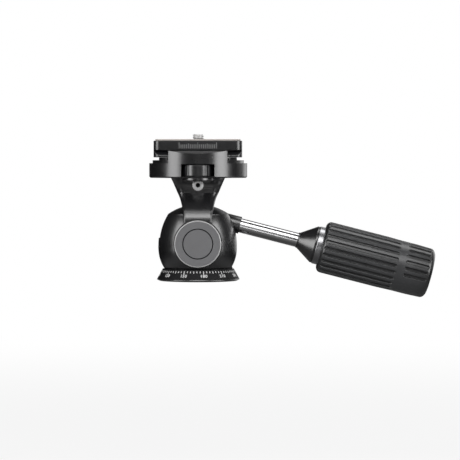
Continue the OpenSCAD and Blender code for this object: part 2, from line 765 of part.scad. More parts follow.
module wheel_pin() {
    low = yoke_top_z - wheel_pin_sunk;
    color(steel) translate([0, -wheel_y, low])
        cylinder(r = wheel_pin_r, h = wheel_z + wheel_h - wheel_pin_top_gap - low);
}
module jaw_springs() {
    color(steel) guide_places() difference() {
        bar_y(spring_r, jaw_back_y - spring_l, jaw_back_y);
        bar_y(spring_r - spring_wall, -far, far);
    }
}
module clamp_jaw() {
    color(black) difference() {
        union() {
            intersection() {
                round_body(yoke_top_z + jaw_foot_z, deck_z + air);
                translate([-jaw_half_l, jaw_back_y + air, 0]) cube([2 * jaw_half_l, clamp_r, far * 2]);
            }
            difference() {
                jaw_block(deck_z + slip);
                slab(far, land_half_w + air, 0, land_z + slip);
            }
            translate([-bar_half_w, scroll_r - wheel_y - bar_front, wheel_roof_z + slip])
                cube([2 * bar_half_w, jaw_back_y + wheel_y - scroll_r + bar_front + 2 * air,
                    land_z - wheel_roof_z - 2 * slip]);
        }
        plate_room();
        translate([0, 0, wheel_roof_z - over]) cylinder(r = bar_hole_r, h = far);
        translate([0, scroll_r - wheel_y, 0]) cylinder(r = jaw_pin_r, h = far * 2);
        guide_places() bar_y(guide_r, 0, jaw_back_y + guide_sunk);
    }
}
module jaw_pin() {
    color(steel) translate([0, scroll_r - wheel_y, wheel_roof_z + slip - jaw_pin_l])
        cylinder(r = jaw_pin_r, h = jaw_pin_l + land_z - wheel_roof_z - 2 * slip);
}
module guide_pins() {
    color(steel) guide_places() bar_y(guide_r, jaw_back_y - guide_l, jaw_back_y + guide_sunk);
}
// The spiral that the jaw's pin runs in, on top of the wheel
module scroll_outline() {
    pitch = jaw_travel / wheel_turn;
    angles = [for (i = [0:scroll_steps]) 90 + scroll_margin - (wheel_turn + 2 * scroll_margin) * i / scroll_steps];
    function radius(a) = scroll_r + pitch * (90 - a);
    polygon(concat([for (a = angles) (radius(a) + scroll_half_w) * outward(a)],
        [for (i = [scroll_steps:-1:0]) (radius(angles[i]) - scroll_half_w) * outward(angles[i])]));
}
module jaw_wheel() {
    color(black) translate([0, -wheel_y, wheel_z]) difference() {
        rotate_extrude() polygon([[wheel_pin_r + run_fit, 0], [wheel_r - wheel_chamfer, 0],
            [wheel_r, wheel_chamfer], [wheel_r, wheel_h - wheel_chamfer],
            [wheel_r - wheel_chamfer, wheel_h], [wheel_pin_r + run_fit, wheel_h]]);
        for (i = [0:flutes - 1]) rotate((i + 0.5) * 360 / flutes) translate([wheel_r + flute_out, 0, -over])
            cylinder(r = flute_r, h = wheel_h + 2 * over);
        translate([0, 0, wheel_h - scroll_depth]) linear_extrude(scroll_depth + over) scroll_outline();
    }
}

// Plate
module rounded_plate(half_l, half_w, corner, z_low, z_high) {
    slab(half_l - corner, half_w, z_low, z_high);
    slab(half_l, half_w - corner, z_low, z_high);
    for (x = [-1, 1], y = [-1, 1])
        translate([x * (half_l - corner), y * (half_w - corner), z_low])
            cylinder(r = corner, h = z_high - z_low);
}
// A slot along the plate, as long as the camera screw's travel
module track(r, z_low, z_high) {
    slab(screw_travel, r, z_low, z_high);
    for (x = [-screw_travel, screw_travel]) translate([x, 0, z_low]) cylinder(r = r, h = z_high - z_low);
}
module quick_plate() {
    half_l = plate_l / 2;
    half_w = plate_w / 2;
    color(black) difference() {
        union() {
            rounded_plate(half_l, half_w, plate_corner, slab_z, slab_top_z);
            intersection() {
                rounded_plate(half_l, half_w, plate_corner, plate_z, slab_z + slab_chamfer);
                translate([-half_l, 0, 0]) rotate([90, 0, 90]) linear_extrude(plate_l)
                    polygon([[-half_w, plate_z], [half_w, plate_z], [half_w, plate_z + lip_h],
                        [waist_half_w, slab_z], [waist_half_w, slab_top_z], [-waist_half_w, slab_top_z],
                        [-waist_half_w, slab_z], [-half_w, plate_z + lip_h]]);
            }
        }
        track(screw_r + slot_clear, plate_z - over, slab_top_z + over);
        track(carrier_r + run_fit, plate_z - over, track_roof_z);
    }
}
module plate_pad() {
    color(pad_grey) difference() {
        rounded_plate(plate_l / 2 - pad_inset, plate_w / 2 - pad_inset, plate_corner - pad_inset,
            slab_top_z, pad_top_z);
        track(screw_r + slot_clear, slab_top_z - over, pad_top_z + over);
    }
}
module screw_carrier() {
    color(steel) translate([0, 0, track_roof_z - carrier_gap - carrier_h])
        tube(carrier_r, shank_r + run_fit, carrier_h);
}
module camera_screw() {
    knob_top = track_roof_z - 2 * carrier_gap - carrier_h;
    color(steel) difference() {
        rotate_extrude() polygon([[0, knob_top - knob_h], [knob_r - chamfer, knob_top - knob_h],
            [knob_r, knob_top - knob_h + chamfer], [knob_r, knob_top], [shank_r, knob_top],
            [shank_r, pad_top_z + shank_rise], [screw_r, pad_top_z + shank_rise],
            [screw_r, pad_top_z + screw_h - screw_point], [screw_r - screw_point, pad_top_z + screw_h],
            [0, pad_top_z + screw_h]]);
        translate([-knob_slot_w / 2, -knob_r - over, knob_top - knob_h - over])
            cube([knob_slot_w, 2 * (knob_r + over), over + knob_slot_depth]);
    }
}

// Handle
module handle_rod() {
    color(steel) difference() {
        handle_turned([[0, rod_cone_start], [rod_tip_r, rod_cone_start], [rod_cone_r, rod_thread_start],
            [rod_thread_r, rod_thread_start + chamfer], [rod_thread_r, rod_thread_end + slip],
            [rod_r, rod_thread_end + slip], [rod_r, rod_end], [0, rod_end]]);
        handle_frame() bar_x(grip_screw_r, rod_end - grip_screw_l, rod_end + over);
    }
}
module ferrule_cone() {
    color(black) handle_turned([[rod_r, ferrule_start], [ferrule_nose_r - chamfer, ferrule_start],
        [ferrule_nose_r, ferrule_start + chamfer], [ferrule_nose_r, ferrule_start + ferrule_nose_l],
        [ferrule_r, ring_start - ferrule_lip_l], [ferrule_r, ring_start], [rod_r, ring_start]]);
}
module metal_ring() {
    color(steel) handle_turned([[rod_r, ring_start], [metal_ring_r - chamfer, ring_start],
        [metal_ring_r, ring_start + chamfer], [metal_ring_r, grip_start - chamfer],
        [metal_ring_r - chamfer, grip_start], [rod_r, grip_start]]);
}
module grip_core() {
    color(satin_grey) difference() {
        handle_turned([[rod_r, grip_start], [core_r, grip_start], [core_r, core_end], [0, core_end],
            [0, rod_end], [rod_r, rod_end]]);
        handle_frame() bar_x(grip_screw_r, rod_end - over, core_end);
        handle_frame() bar_x(grip_screw_head_r + slip, core_end - grip_screw_head_h, core_end + over);
        handle_frame() bar_x(core_r - rubber_t, rod_end + rod_r, core_end - 2 * grip_screw_head_h);
    }
}
module grip_screw() {
    color(steel) difference() {
        union() {
            handle_frame() bar_x(grip_screw_r, rod_end - grip_screw_l + slip, core_end - grip_screw_head_h);
            handle_frame() bar_x(grip_screw_head_r, core_end - grip_screw_head_h, core_end - slip);
        }
        handle_frame() translate([core_end - slip - neck_socket_depth, 0, 0]) rotate([0, 90, 0])
            cylinder(r = neck_socket_r, h = neck_socket_depth + over, $fn = 6);
    }
}
module grip_sleeve() {
    end_r = grip_r - grip_taper;
    near = [grip_r - grip_round, grip_start + grip_round];
    tail = [end_r - grip_round, grip_end - grip_end_crown - grip_round];
    far_start = groove_start + groove_near_l + groove_band_l;
    color(rubber) difference() {
        handle_turned(concat([[0, core_end], [core_r, core_end], [core_r, grip_start]],
            [for (p = arc(near, grip_round, -90, 0, arc_steps / 2)) p],
            [[grip_r, grip_end - 4 * grip_round]],
            arc(tail, grip_round, 0, 80, arc_steps / 2), [[0, grip_end]]));
        for (i = [0:grip_grooves - 1]) handle_frame() rotate([i * 360 / grip_grooves, 0, 0])
            translate([0, 0, grip_r + groove_r - groove_cut_depth]) {
                bar_x(groove_r, groove_start, groove_start + groove_near_l);
                bar_x(groove_r, far_start, far_start + groove_far_l);
            }
    }
}

base_ring();
thread_bush();
pan_spindle();
spindle_screws();
pan_washer();
housing();
pan_retaining_ring();
tilt_bush_front();
tilt_bush_rear();
tilt_washers();
tilt_drag_screw();
drag_plug();
yoke();
tilt_axle();
handle_hub();
hub_pin();
axle_screws();
brake_pads();
side_cap_front();
side_cap_rear();
cap_inlay_front();
cap_inlay_rear();
clamp_body();
clamp_bolt();
neck_screw();
side_screw();
wheel_pin();
jaw_springs();
clamp_jaw();
jaw_pin();
guide_pins();
jaw_wheel();
quick_plate();
plate_pad();
screw_carrier();
camera_screw();
handle_rod();
ferrule_cone();
metal_ring();
grip_core();
grip_screw();
grip_sleeve();
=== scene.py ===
"""Window mount head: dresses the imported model, piece by piece, in its own frame.

Lengths are in metres and angles in radians. The origin is the centre of the base's underside, +Z is
up, the tilt axis runs along Y, and the handle points towards +X.
"""

import json
import math

import bmesh
import bpy
from mathutils import Matrix, Vector

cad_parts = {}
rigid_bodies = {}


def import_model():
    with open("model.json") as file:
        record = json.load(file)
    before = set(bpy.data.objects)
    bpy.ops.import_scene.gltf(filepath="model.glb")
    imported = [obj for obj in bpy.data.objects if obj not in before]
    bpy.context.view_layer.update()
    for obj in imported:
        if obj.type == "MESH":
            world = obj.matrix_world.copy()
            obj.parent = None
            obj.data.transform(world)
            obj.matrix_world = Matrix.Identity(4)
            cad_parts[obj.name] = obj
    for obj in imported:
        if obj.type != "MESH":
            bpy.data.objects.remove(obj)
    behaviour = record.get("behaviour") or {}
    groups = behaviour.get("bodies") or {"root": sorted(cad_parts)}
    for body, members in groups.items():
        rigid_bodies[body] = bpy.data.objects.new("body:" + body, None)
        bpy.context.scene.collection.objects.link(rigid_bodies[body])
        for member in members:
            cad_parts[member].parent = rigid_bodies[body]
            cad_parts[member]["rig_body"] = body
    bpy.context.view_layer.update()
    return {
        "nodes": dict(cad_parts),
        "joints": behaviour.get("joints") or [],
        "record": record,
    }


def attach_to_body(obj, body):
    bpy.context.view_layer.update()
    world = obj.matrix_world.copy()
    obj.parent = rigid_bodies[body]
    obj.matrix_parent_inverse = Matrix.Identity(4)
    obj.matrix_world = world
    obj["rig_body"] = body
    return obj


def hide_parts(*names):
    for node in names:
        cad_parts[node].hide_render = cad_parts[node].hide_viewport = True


bl_info = {
    "name": "Window mount head",
    "version": (1, 0, 0),
    "blender": (4, 5, 0),
    "location": "3D View > Sidebar > Mount Head",
    "description": "Builds the visible pieces and finishes of a small pan and tilt head",
    "category": "Add Mesh",
}

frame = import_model()
NODES = frame["nodes"]
JOINTS = {joint["name"]: joint for joint in frame["joints"]}
SLOTS = {part["node"]: part["material_slot"] for part in frame["record"]["subparts"]}
MM = 0.001
QUARTER_TURN = math.pi / 2
FULL_TURN = 2 * math.pi
WELD = 2e-6
FAR = 1.0
UP = Vector((0, 0, 1))
FRONT = Vector((0, -1, 0))
RIGHT = Vector((1, 0, 0))
PIVOT = Vector(JOINTS["tilt"]["pos_m"])


# Places

def place_along(origin, direction, top=UP):
    """The frame whose Z runs along direction from origin, with its X as near to top as it can be."""
    z = direction.normalized()
    x = (top - z * top.dot(z)).normalized()
    y = z.cross(x)
    turn = Matrix((x, y, z)).transposed().to_4x4()
    return Matrix.Translation(origin) @ turn


UPRIGHT = place_along(Vector(), UP, RIGHT)
FACING = place_along(Vector(), FRONT)
CAP_FRONT = place_along(PIVOT, FRONT)
CAP_REAR = place_along(PIVOT, -FRONT)
HANDLE = place_along(Vector(JOINTS["handle_twist"]["pos_m"]), Vector(JOINTS["handle_twist"]["axis"]))


class Extent:
    """The lowest and highest corner of a CAD node, and its greatest radius, in a frame of its own."""

    def __init__(self, node, place=UPRIGHT):
        back = place.inverted()
        points = [back @ vertex.co for vertex in NODES[node].data.vertices]
        self.low = Vector([min(point[i] for point in points) for i in range(3)])
        self.high = Vector([max(point[i] for point in points) for i in range(3)])
        self.radius = max(math.hypot(point.x, point.y) for point in points)
        self.length = self.high.z - self.low.z
        self.centre = (self.low + self.high) / 2


# What a user would change

def length_of(label, meaning, value):
    """A length that the user can change."""
    return bpy.props.FloatProperty(
        name=label, description=meaning, default=value, min=0, unit="LENGTH", precision=6)


def count_of(label, meaning, value, low, high):
    """A count that the user can change."""
    return bpy.props.IntProperty(name=label, description=meaning, default=value, min=low, max=high)


def colour_of(label, meaning, value):
    """A colour that the user can change."""
    return bpy.props.FloatVectorProperty(
        name=label, description=meaning, default=value, min=0, max=1, size=3, subtype="COLOR")


class HeadSizes(bpy.types.PropertyGroup):
    """Sizes of the details that the frame doesn't hold"""

    edge: length_of("Edge", "Width of the rounded edges on machined pieces", 0.22 * MM)
    mark_width: length_of("Mark width", "Width of a mark on the degree ring", 0.5 * MM)
    ruler_mark_width: length_of("Ruler mark width", "Width of a mark on the plate's ruler", 0.26 * MM)
    ruler_step: length_of("Ruler step", "Distance between two marks on the plate's ruler", 1.05 * MM)
    figure_height: length_of("Figure height", "Height of the numbers on the degree ring", 1.8 * MM)
    ink: length_of("Ink", "Thickness of the marks and numbers", 0.04 * MM)
    ring_turn: bpy.props.FloatProperty(
        name="Ring turn", description="How far the number 180 stands to the right of the front",
        default=math.radians(8.7), subtype="ANGLE")
    grooves: count_of("Grooves", "Number of grooves round the grip", 24, 6, 40)
    bare_grooves: count_of("Bare places", "Number of places without a groove near the grip's end", 4, 0, 12)
    groove_width: length_of("Groove width", "Width of a groove in the grip", 1.9 * MM)
    groove_depth: length_of("Groove depth", "Depth of a groove in the grip", 1.0 * MM)
    flutes: count_of("Flutes", "Number of flutes round the clamp's wheel", 5, 4, 12)
    camera_height: length_of("Camera height", "Height of the camera above the base", 70 * MM)
    camera_distance: length_of("Camera distance", "Distance of the camera from the pan axis", 1.457)


class HeadColours(bpy.types.PropertyGroup):
    """Colours of the finishes, linear"""

    black: colour_of("Black", "Anodised black of the housing, yoke and clamp", (0.005, 0.005, 0.006))
    grey: colour_of("Grey", "Anodised grey of the side caps", (0.15, 0.15, 0.155))
    plate: colour_of("Plate", "Anodised black of the quick plate", (0.006, 0.006, 0.0075))
    steel: colour_of("Steel", "Machined steel", (0.55, 0.55, 0.56))
    bright: colour_of("Bright steel", "Bright turned steel of the screws", (0.72, 0.72, 0.72))
    rod: colour_of("Rod", "Polished rod", (0.86, 0.86, 0.87))
    ring: colour_of("Metal ring", "Satin metal ring of the grip", (0.66, 0.66, 0.68))
    bronze: colour_of("Bronze", "Bearing bronze", (0.5, 0.34, 0.16))
    nylon: colour_of("Nylon", "Washers and plug", (0.76, 0.75, 0.7))
    pad: colour_of("Pad", "Rubber pad on the plate", (0.5, 0.46, 0.43))
    rubber: colour_of("Rubber", "Rubber of the grip", (0.036, 0.037, 0.039))
    ink: colour_of("Ink", "Marks and numbers of the degree ring", (0.62, 0.62, 0.62))
    ruler: colour_of("Ruler ink", "Marks of the plate's ruler", (0.34, 0.34, 0.34))
    floor: colour_of("Floor", "Plain pale floor", (0.6, 0.6, 0.6))


def sizes():
    return bpy.context.scene.head_sizes


def colours():
    return bpy.context.scene.head_colours


# Node trees

class Link:
    """An output socket of a node. Arithmetic on it adds Math nodes."""

    def __init__(self, graph, socket):
        self.graph = graph
        self.socket = socket

    def __add__(self, other):
        return self.graph.math("ADD", self, other)

    def __sub__(self, other):
        return self.graph.math("SUBTRACT", self, other)

    def __rsub__(self, other):
        return self.graph.math("SUBTRACT", other, self)

    def __mul__(self, other):
        return self.graph.math("MULTIPLY", self, other)

    def __truediv__(self, other):
        return self.graph.math("DIVIDE", self, other)

    def __mod__(self, other):
        return self.graph.math("MODULO", self, other)

    def __lt__(self, other):
        return self.graph.math("LESS_THAN", self, other)

    __radd__ = __add__
    __rmul__ = __mul__


class Graph:
    """A shader or geometry tree that is built by code."""

    def __init__(self, tree):
        self.tree = tree
        tree.nodes.clear()

    def node(self, kind, settings=None, sockets=None, output=0):
        """Adds a node: first its settings, then its sockets' values or links, where they aren't None."""
        made = self.tree.nodes.new(kind)
        for name, value in (settings or {}).items():
            setattr(made, name, value)
        for key, value in (sockets or {}).items():
            if isinstance(value, Link):
                self.tree.links.new(value.socket, made.inputs[key])
            elif value is not None:
                made.inputs[key].default_value = value
        return Link(self, made.outputs[output]) if made.outputs else None

    def math(self, operation, first, second=0.0):
        return self.node("ShaderNodeMath", {"operation": operation}, {0: first, 1: second})

    def vector(self, operation, first, second=None):
        """A Vector Math node. A dot product and a length come out as numbers."""
        output = "Value" if operation in ("DOT_PRODUCT", "LENGTH") else "Vector"
        return self.node("ShaderNodeVectorMath", {"operation": operation}, {0: first, 1: second}, output)

    def xyz(self, x=0.0, y=0.0, z=0.0):
        return self.node("ShaderNodeCombineXYZ", None, {0: x, 1: y, 2: z})

    def mix(self, share, first, second):
        """A colour between two colours."""
        return self.node("ShaderNodeMix", {"data_type": "RGBA"}, {0: share, 6: first, 7: second}, 2)

    def ramp(self, value, start, end, low, high, kind="SMOOTHSTEP"):
        """Runs from low to high while the value runs from start to end."""
        return self.node("ShaderNodeMapRange", {"interpolation_type": kind},
                         {0: value, 1: start, 2: end, 3: low, 4: high})


def opaque(colour, share=1.0):
    """A colour as a socket takes it, with its brightness times share."""
    return (*[min(part * share, 1) for part in colour], 1)


# Finishes

FINISH_PREFIX = "head_"
BROAD_GRAIN = 9 * MM
FINE_SHARE = 0.55
BUMP_DEPTH = 0.05 * MM
EDGE_FACING = (0.995, 0.86)
# Edges are painted lighter, partly as wear and partly as a painted highlight: the base and share of that
# lighter colour
EDGE_WEAR_AND_HIGHLIGHT_BASE = 0.25
EDGE_WEAR_AND_HIGHLIGHT_SHARE = 0.5
# Painted shade in the grip's grooves: where it starts under the surface, its depth as a share of a groove's,
# and how dark it gets
GROOVE_SHADE_START = 0.15 * MM
GROOVE_SHADE_DEPTH_SHARE = 0.7
GROOVE_SHADE_COLOUR_SHARE = 0.25


def finish(name, colour, roughness, metallic=0.0, ior=1.5, grain=0.35 * MM, bump=0.1, mottle=0.12,
           edge=0.0, edge_wear_and_highlight=0.0, lines=None, hollows=None, roughness_spread=0.06):
    """A procedural finish.

    grain is the size of the surface's grain and bump its strength. edge is the width over which
    edges look rounded, and edge_wear_and_highlight how much lighter the colour is there, partly as
    wear and partly as a painted highlight. lines is (direction, pitch, strength) of the fine marks
    that a lathe leaves. hollows is (place, radius, depth, share), a painted shade in grooves:
    round the Z axis of place, the colour falls to that share from the radius to a depth below it.
    """
    made = bpy.data.materials.new(FINISH_PREFIX + name)
    made.use_nodes = True
    graph = Graph(made.node_tree)
    where = graph.node("ShaderNodeTexCoord", output="Object")
    fine = graph.node("ShaderNodeTexNoise", None, {"Vector": where, "Scale": 1 / grain, "Detail": 3.0})
    broad = graph.node("ShaderNodeTexNoise", None, {
        "Vector": where, "Scale": 1 / BROAD_GRAIN, "Detail": 4.0})
    blend = fine * FINE_SHARE + broad * (1 - FINE_SHARE)
    tint = graph.mix(blend, opaque(colour, 1 - mottle), opaque(colour, 1 + mottle))
    height = fine
    if lines:
        direction, pitch, strength = lines
        wave = graph.math("SINE", graph.vector("DOT_PRODUCT", where, direction) * (FULL_TURN / pitch))
        height = fine * (1 - strength) + wave * strength
    sockets = {"Height": height, "Strength": bump, "Distance": BUMP_DEPTH}
    if edge:
        soft = graph.node("ShaderNodeBevel", {"samples": 4}, {"Radius": edge})
        sockets["Normal"] = soft
    # Edges painted lighter: partly wear, partly a painted highlight
    if edge and edge_wear_and_highlight:
        true_normal = graph.node("ShaderNodeNewGeometry", output="Normal")
        facing = graph.vector("DOT_PRODUCT", soft, true_normal)
        wear_and_highlight_mask = graph.ramp(facing, *EDGE_FACING, 0.0, edge_wear_and_highlight, "LINEAR")
        tint = graph.mix(wear_and_highlight_mask, tint, opaque([EDGE_WEAR_AND_HIGHLIGHT_BASE + EDGE_WEAR_AND_HIGHLIGHT_SHARE * part for part in colour]))
    # Painted shade: the colour darkens down into the grooves round the axis
    if hollows:
        place, radius, depth, share = hollows
        across = graph.vector("CROSS_PRODUCT", graph.vector("SUBTRACT", where, place.translation),
                              place.to_3x3() @ UP)
        groove_shade_mask = graph.ramp(graph.vector("LENGTH", across), radius, radius - depth, 0.0, 1.0)
        tint = graph.mix(groove_shade_mask, tint, opaque(colour, share))
    rough = blend * roughness_spread + (roughness - roughness_spread / 2)
    normal = graph.node("ShaderNodeBump", None, sockets)
    shader = graph.node("ShaderNodeBsdfPrincipled", None, {
        "Base Color": tint, "Roughness": rough, "Normal": normal, "Metallic": metallic, "IOR": ior})
    graph.node("ShaderNodeOutputMaterial", None, {"Surface": shader})


def make_finishes():
    """Every finish of the head. Each slot of the record has the one of its name."""
    tone = colours()
    edge = sizes().edge
    along_handle = tuple(HANDLE.to_3x3() @ UP)
    grip_groove_shade = (HANDLE, Extent("grip_sleeve", HANDLE).radius - GROOVE_SHADE_START,
                    GROOVE_SHADE_DEPTH_SHARE * sizes().groove_depth, GROOVE_SHADE_COLOUR_SHARE)
    finish("black_anodised", tone.black, 0.28, ior=2.3, bump=0.12, edge=edge, edge_wear_and_highlight=0.1)
    finish("dull_black", tone.black, 0.6, ior=1.4, bump=0.1, mottle=0.2, edge=edge, edge_wear_and_highlight=0.05)
    finish("grey_anodised", tone.grey, 0.52, bump=0.3, grain=0.22 * MM, mottle=0.16, edge=edge, edge_wear_and_highlight=0.1)
    finish("plate_black", tone.plate, 0.3, ior=2.1, bump=0.12, edge=edge, edge_wear_and_highlight=0.12)
    finish("gloss_black", tone.black, 0.3, ior=2.3, bump=0.02, edge=edge)
    finish("steel", tone.steel, 0.34, metallic=0.9, bump=0.1, edge=edge)
    finish("bright_screw", tone.bright, 0.4, metallic=0.3, bump=0.06, edge=0.12 * MM)
    finish("cut_edge", tone.bright, 0.36, metallic=0.3, bump=0.05)
    finish("polished_rod", tone.rod, 0.17, metallic=1.0, bump=0.0, mottle=0.03, roughness_spread=0.03)
    finish("satin_metal", tone.ring, 0.3, metallic=1.0, bump=0.04, lines=(along_handle, 0.3 * MM, 0.5))
    finish("bronze", tone.bronze, 0.4, metallic=1.0, bump=0.1)
    finish("nylon", tone.nylon, 0.55, bump=0.1, mottle=0.05)
    finish("pad_rubber", tone.pad, 0.8, bump=0.5, grain=0.25 * MM, mottle=0.14)
    finish("grip_rubber", tone.rubber, 0.34, ior=2.0, bump=0.3, grain=0.16 * MM, mottle=0.16,
           roughness_spread=0.12, hollows=grip_groove_shade)
    finish("white_ink", tone.ink, 0.6, bump=0.05, mottle=0.05)
    finish("grey_ink", tone.ruler, 0.6, bump=0.05, mottle=0.05)


def material(name):
    return bpy.data.materials[FINISH_PREFIX + name]


# Meshes

def rounded(corners, steps=4):
    """The points of a closed outline of (across, along, radius) corners, each rounded by its radius."""
    points = []
    for i, (across, along, radius) in enumerate(corners):
        here = Vector((across, along))
        if not radius:
            points.append(here)
            continue
        back = (Vector(corners[i - 1][:2]) - here).normalized()
        ahead = (Vector(corners[(i + 1) % len(corners)][:2]) - here).normalized()
        half = back.angle(ahead) / 2
        centre = here + (back + ahead).normalized() * radius / math.sin(half)
        reach = radius / math.tan(half)
        first = here + back * reach - centre
        last = here + ahead * reach - centre
        for step in range(steps + 1):
            spoke = first.lerp(last, step / steps).normalized()
            points.append(centre + spoke * radius)
    return points


def arc(centre, radius, start, end, steps):
    """Points of an arc, the way an outline takes them."""
    return [Vector((centre[0] + radius * math.cos(start + (end - start) * i / steps),
                    centre[1] + radius * math.sin(start + (end - start) * i / steps)))
            for i in range(steps + 1)]


def on_circle(radius, angle, height=0.0):
    """A point round the Z axis."""
    return Vector((radius * math.cos(angle), radius * math.sin(angle), height))


def add_piece(name, mesh):
    """Puts a bmesh into the scene as an object at the origin, with its normals outward."""
    bmesh.ops.remove_doubles(mesh, verts=mesh.verts, dist=WELD)
    bmesh.ops.dissolve_degenerate(mesh, edges=mesh.edges, dist=WELD)
    bmesh.ops.recalc_face_normals(mesh, faces=mesh.faces)
    data = bpy.data.meshes.new(name)
    mesh.to_mesh(data)
    mesh.free()
    piece = bpy.data.objects.new(name, data)
    bpy.context.scene.collection.objects.link(piece)
    return piece


def bridge(mesh, first, second):
    """Joins two rings of vertices with faces. A ring of one vertex is a pole."""
    count = max(len(first), len(second))
    for i in range(count):
        j = (i + 1) % count
        corners = [first[i % len(first)], first[j % len(first)],
                   second[j % len(second)], second[i % len(second)]]
        unique = list(dict.fromkeys(corners))
        if len(unique) > 2:
            mesh.faces.new(unique)


def turned(outline, place=UPRIGHT, turns=144, closed=True):
    """A solid turned round the frame's Z axis from an outline of (radius, height) points."""
    mesh = bmesh.new()
    rings = []
    for radius, height in outline:
        spokes = turns if radius > WELD else 1
        rings.append([mesh.verts.new(place @ on_circle(radius, FULL_TURN * i / spokes, height))
                      for i in range(spokes)])
    for first, second in zip(rings, rings[1:]):
        bridge(mesh, first, second)
    if closed:
        bridge(mesh, rings[-1], rings[0])
    return mesh


def turned_piece(name, corners, place=UPRIGHT, turns=144, closed=True):
    """A turned piece from (radius, height, rounding) corners. closed is off where the axis closes it."""
    return add_piece(name, turned(rounded(corners), place, turns, closed))


def rod_along(place, radius, low, high, turns=96):
    """A plain round rod along a frame's Z axis, between two heights."""
    return turned([(0, low), (radius, low), (radius, high), (0, high)], place, turns, False)


def stacked(rings):
    """A solid through rings of points, with its ends filled."""
    mesh = bmesh.new()
    loops = [[mesh.verts.new(point) for point in ring] for ring in rings]
    for first, second in zip(loops, loops[1:]):
        bridge(mesh, first, second)
    mesh.faces.new(loops[0])
    mesh.faces.new(loops[-1])
    return mesh


def prism(outline, half_width, place):
    """An outline in a frame's XY plane made as thick as twice half_width."""
    return stacked([[place @ Vector((x, y, side * half_width)) for x, y in outline] for side in (-1, 1)])


def block(low, high, place=UPRIGHT):
    """A plain box between two corners."""
    mesh = bmesh.new()
    bmesh.ops.create_cube(mesh, size=1)
    for vertex in mesh.verts:
        spot = [(low[i] + high[i]) / 2 + vertex.co[i] * (high[i] - low[i]) for i in range(3)]
        vertex.co = place @ Vector(spot)
    return mesh


def settle(piece):
    """Turns a piece with live modifiers into a plain mesh."""
    graph = bpy.context.evaluated_depsgraph_get()
    data = bpy.data.meshes.new_from_object(piece.evaluated_get(graph))
    piece.modifiers.clear()
    piece.data = data
    return piece


def combine(piece, mesh, operation="DIFFERENCE"):
    """Cuts a bmesh out of a piece, or joins or crosses the two."""
    tool = add_piece("tool", mesh)
    step = piece.modifiers.new("combine", "BOOLEAN")
    step.operation = operation
    step.solver = "EXACT"
    step.object = tool
    settle(piece)
    bpy.data.objects.remove(tool)


def join(name, pieces):
    """One piece from several, or a welded one from one."""
    mesh = bmesh.new()
    for piece in pieces:
        mesh.from_mesh(piece.data)
        bpy.data.objects.remove(piece)
    return add_piece(name, mesh)


FLAT_ANGLE = math.radians(0.4)
EDGE_ANGLE = math.radians(30)


def softened(node, name, width, segments=2):
    """A copy of a CAD node with its edges rounded."""
    mesh = bmesh.new()
    mesh.from_mesh(NODES[node].data)
    bmesh.ops.remove_doubles(mesh, verts=mesh.verts, dist=WELD)
    bmesh.ops.dissolve_limit(mesh, angle_limit=FLAT_ANGLE, verts=mesh.verts, edges=mesh.edges)
    piece = add_piece(name, mesh)
    step = piece.modifiers.new("edges", "BEVEL")
    step.width = width
    step.segments = segments
    step.limit_method = "ANGLE"
    step.angle_limit = EDGE_ANGLE
    step.use_clamp_overlap = True
    return settle(piece)


# Finishing a piece

SOFT_ANGLE = math.radians(32)


def smooth(piece, angle):
    """Shades a piece smooth apart from edges sharper than angle, with its wide faces left flat."""
    data = piece.data
    for attribute in ("custom_normal", "sharp_face", "sharp_edge"):
        if attribute in data.attributes:
            data.attributes.remove(data.attributes[attribute])
    data.polygons.foreach_set("use_smooth", [True] * len(data.polygons))
    data.set_sharp_from_angle(angle=angle)
    step = piece.modifiers.new("normals", "WEIGHTED_NORMAL")
    step.keep_sharp = True
    step.weight = 100
    settle(piece)


def attach(piece, node, slot, paint=None, angle=SOFT_ANGLE):
    """Shades a piece, gives it the finish of its slot or the named paint where it has none, and the body of
    a CAD node.
    """
    smooth(piece, angle)
    if not piece.data.materials:
        piece.data.materials.append(material(paint or slot))
    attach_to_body(piece, NODES[node]["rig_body"])


def dress(piece, node, slot=None, angle=SOFT_ANGLE):
    """Finishes a piece that stands for a CAD node, in the node's own slot unless another is named."""
    attach(piece, node, slot or SLOTS[node], angle=angle)
    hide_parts(node)


def dress_copy(node, name, width, segments=2):
    """A CAD node's own shape with rounded edges stands for it."""
    dress(softened(node, name, width, segments), node)


def paint_faces(piece, place, paint, other, is_other):
    """Gives a piece two finishes. is_other tells from a face's middle, in a frame of its own."""
    piece.data.materials.clear()
    for name in (paint, other):
        piece.data.materials.append(material(name))
    back = place.inverted()
    for face in piece.data.polygons:
        face.material_index = int(is_other(back @ face.center))


# Geometry Nodes

MARK_SOCKETS = {"Count": "Int", "Middle Every": "Float", "Long Every": "Float", "Short": "Float",
                "Middle": "Float", "Long": "Float", "Material": "Material"}


def geometry_tree(name, sockets):
    """A tree with named inputs. Returns its graph and its inputs by name."""
    tree = bpy.data.node_groups.new(name, "GeometryNodeTree")
    graph = Graph(tree)
    tree.interface.new_socket("Geometry", in_out="OUTPUT", socket_type="NodeSocketGeometry")
    tree.interface.new_socket("Geometry", in_out="INPUT", socket_type="NodeSocketGeometry")
    for label, kind in sockets.items():
        tree.interface.new_socket(label, in_out="INPUT", socket_type="NodeSocket" + kind)
    start = tree.nodes.new("NodeGroupInput")
    return graph, {socket.name: Link(graph, socket) for socket in start.outputs if socket.name}


def end_tree(graph, given, shape):
    """Realizes the instances, sets the material and ends the tree."""
    real = graph.node("GeometryNodeRealizeInstances", None, {0: shape})
    painted = graph.node("GeometryNodeSetMaterial", None, {"Geometry": real, "Material": given["Material"]})
    graph.node("NodeGroupOutput", None, {0: painted})
    return graph.tree


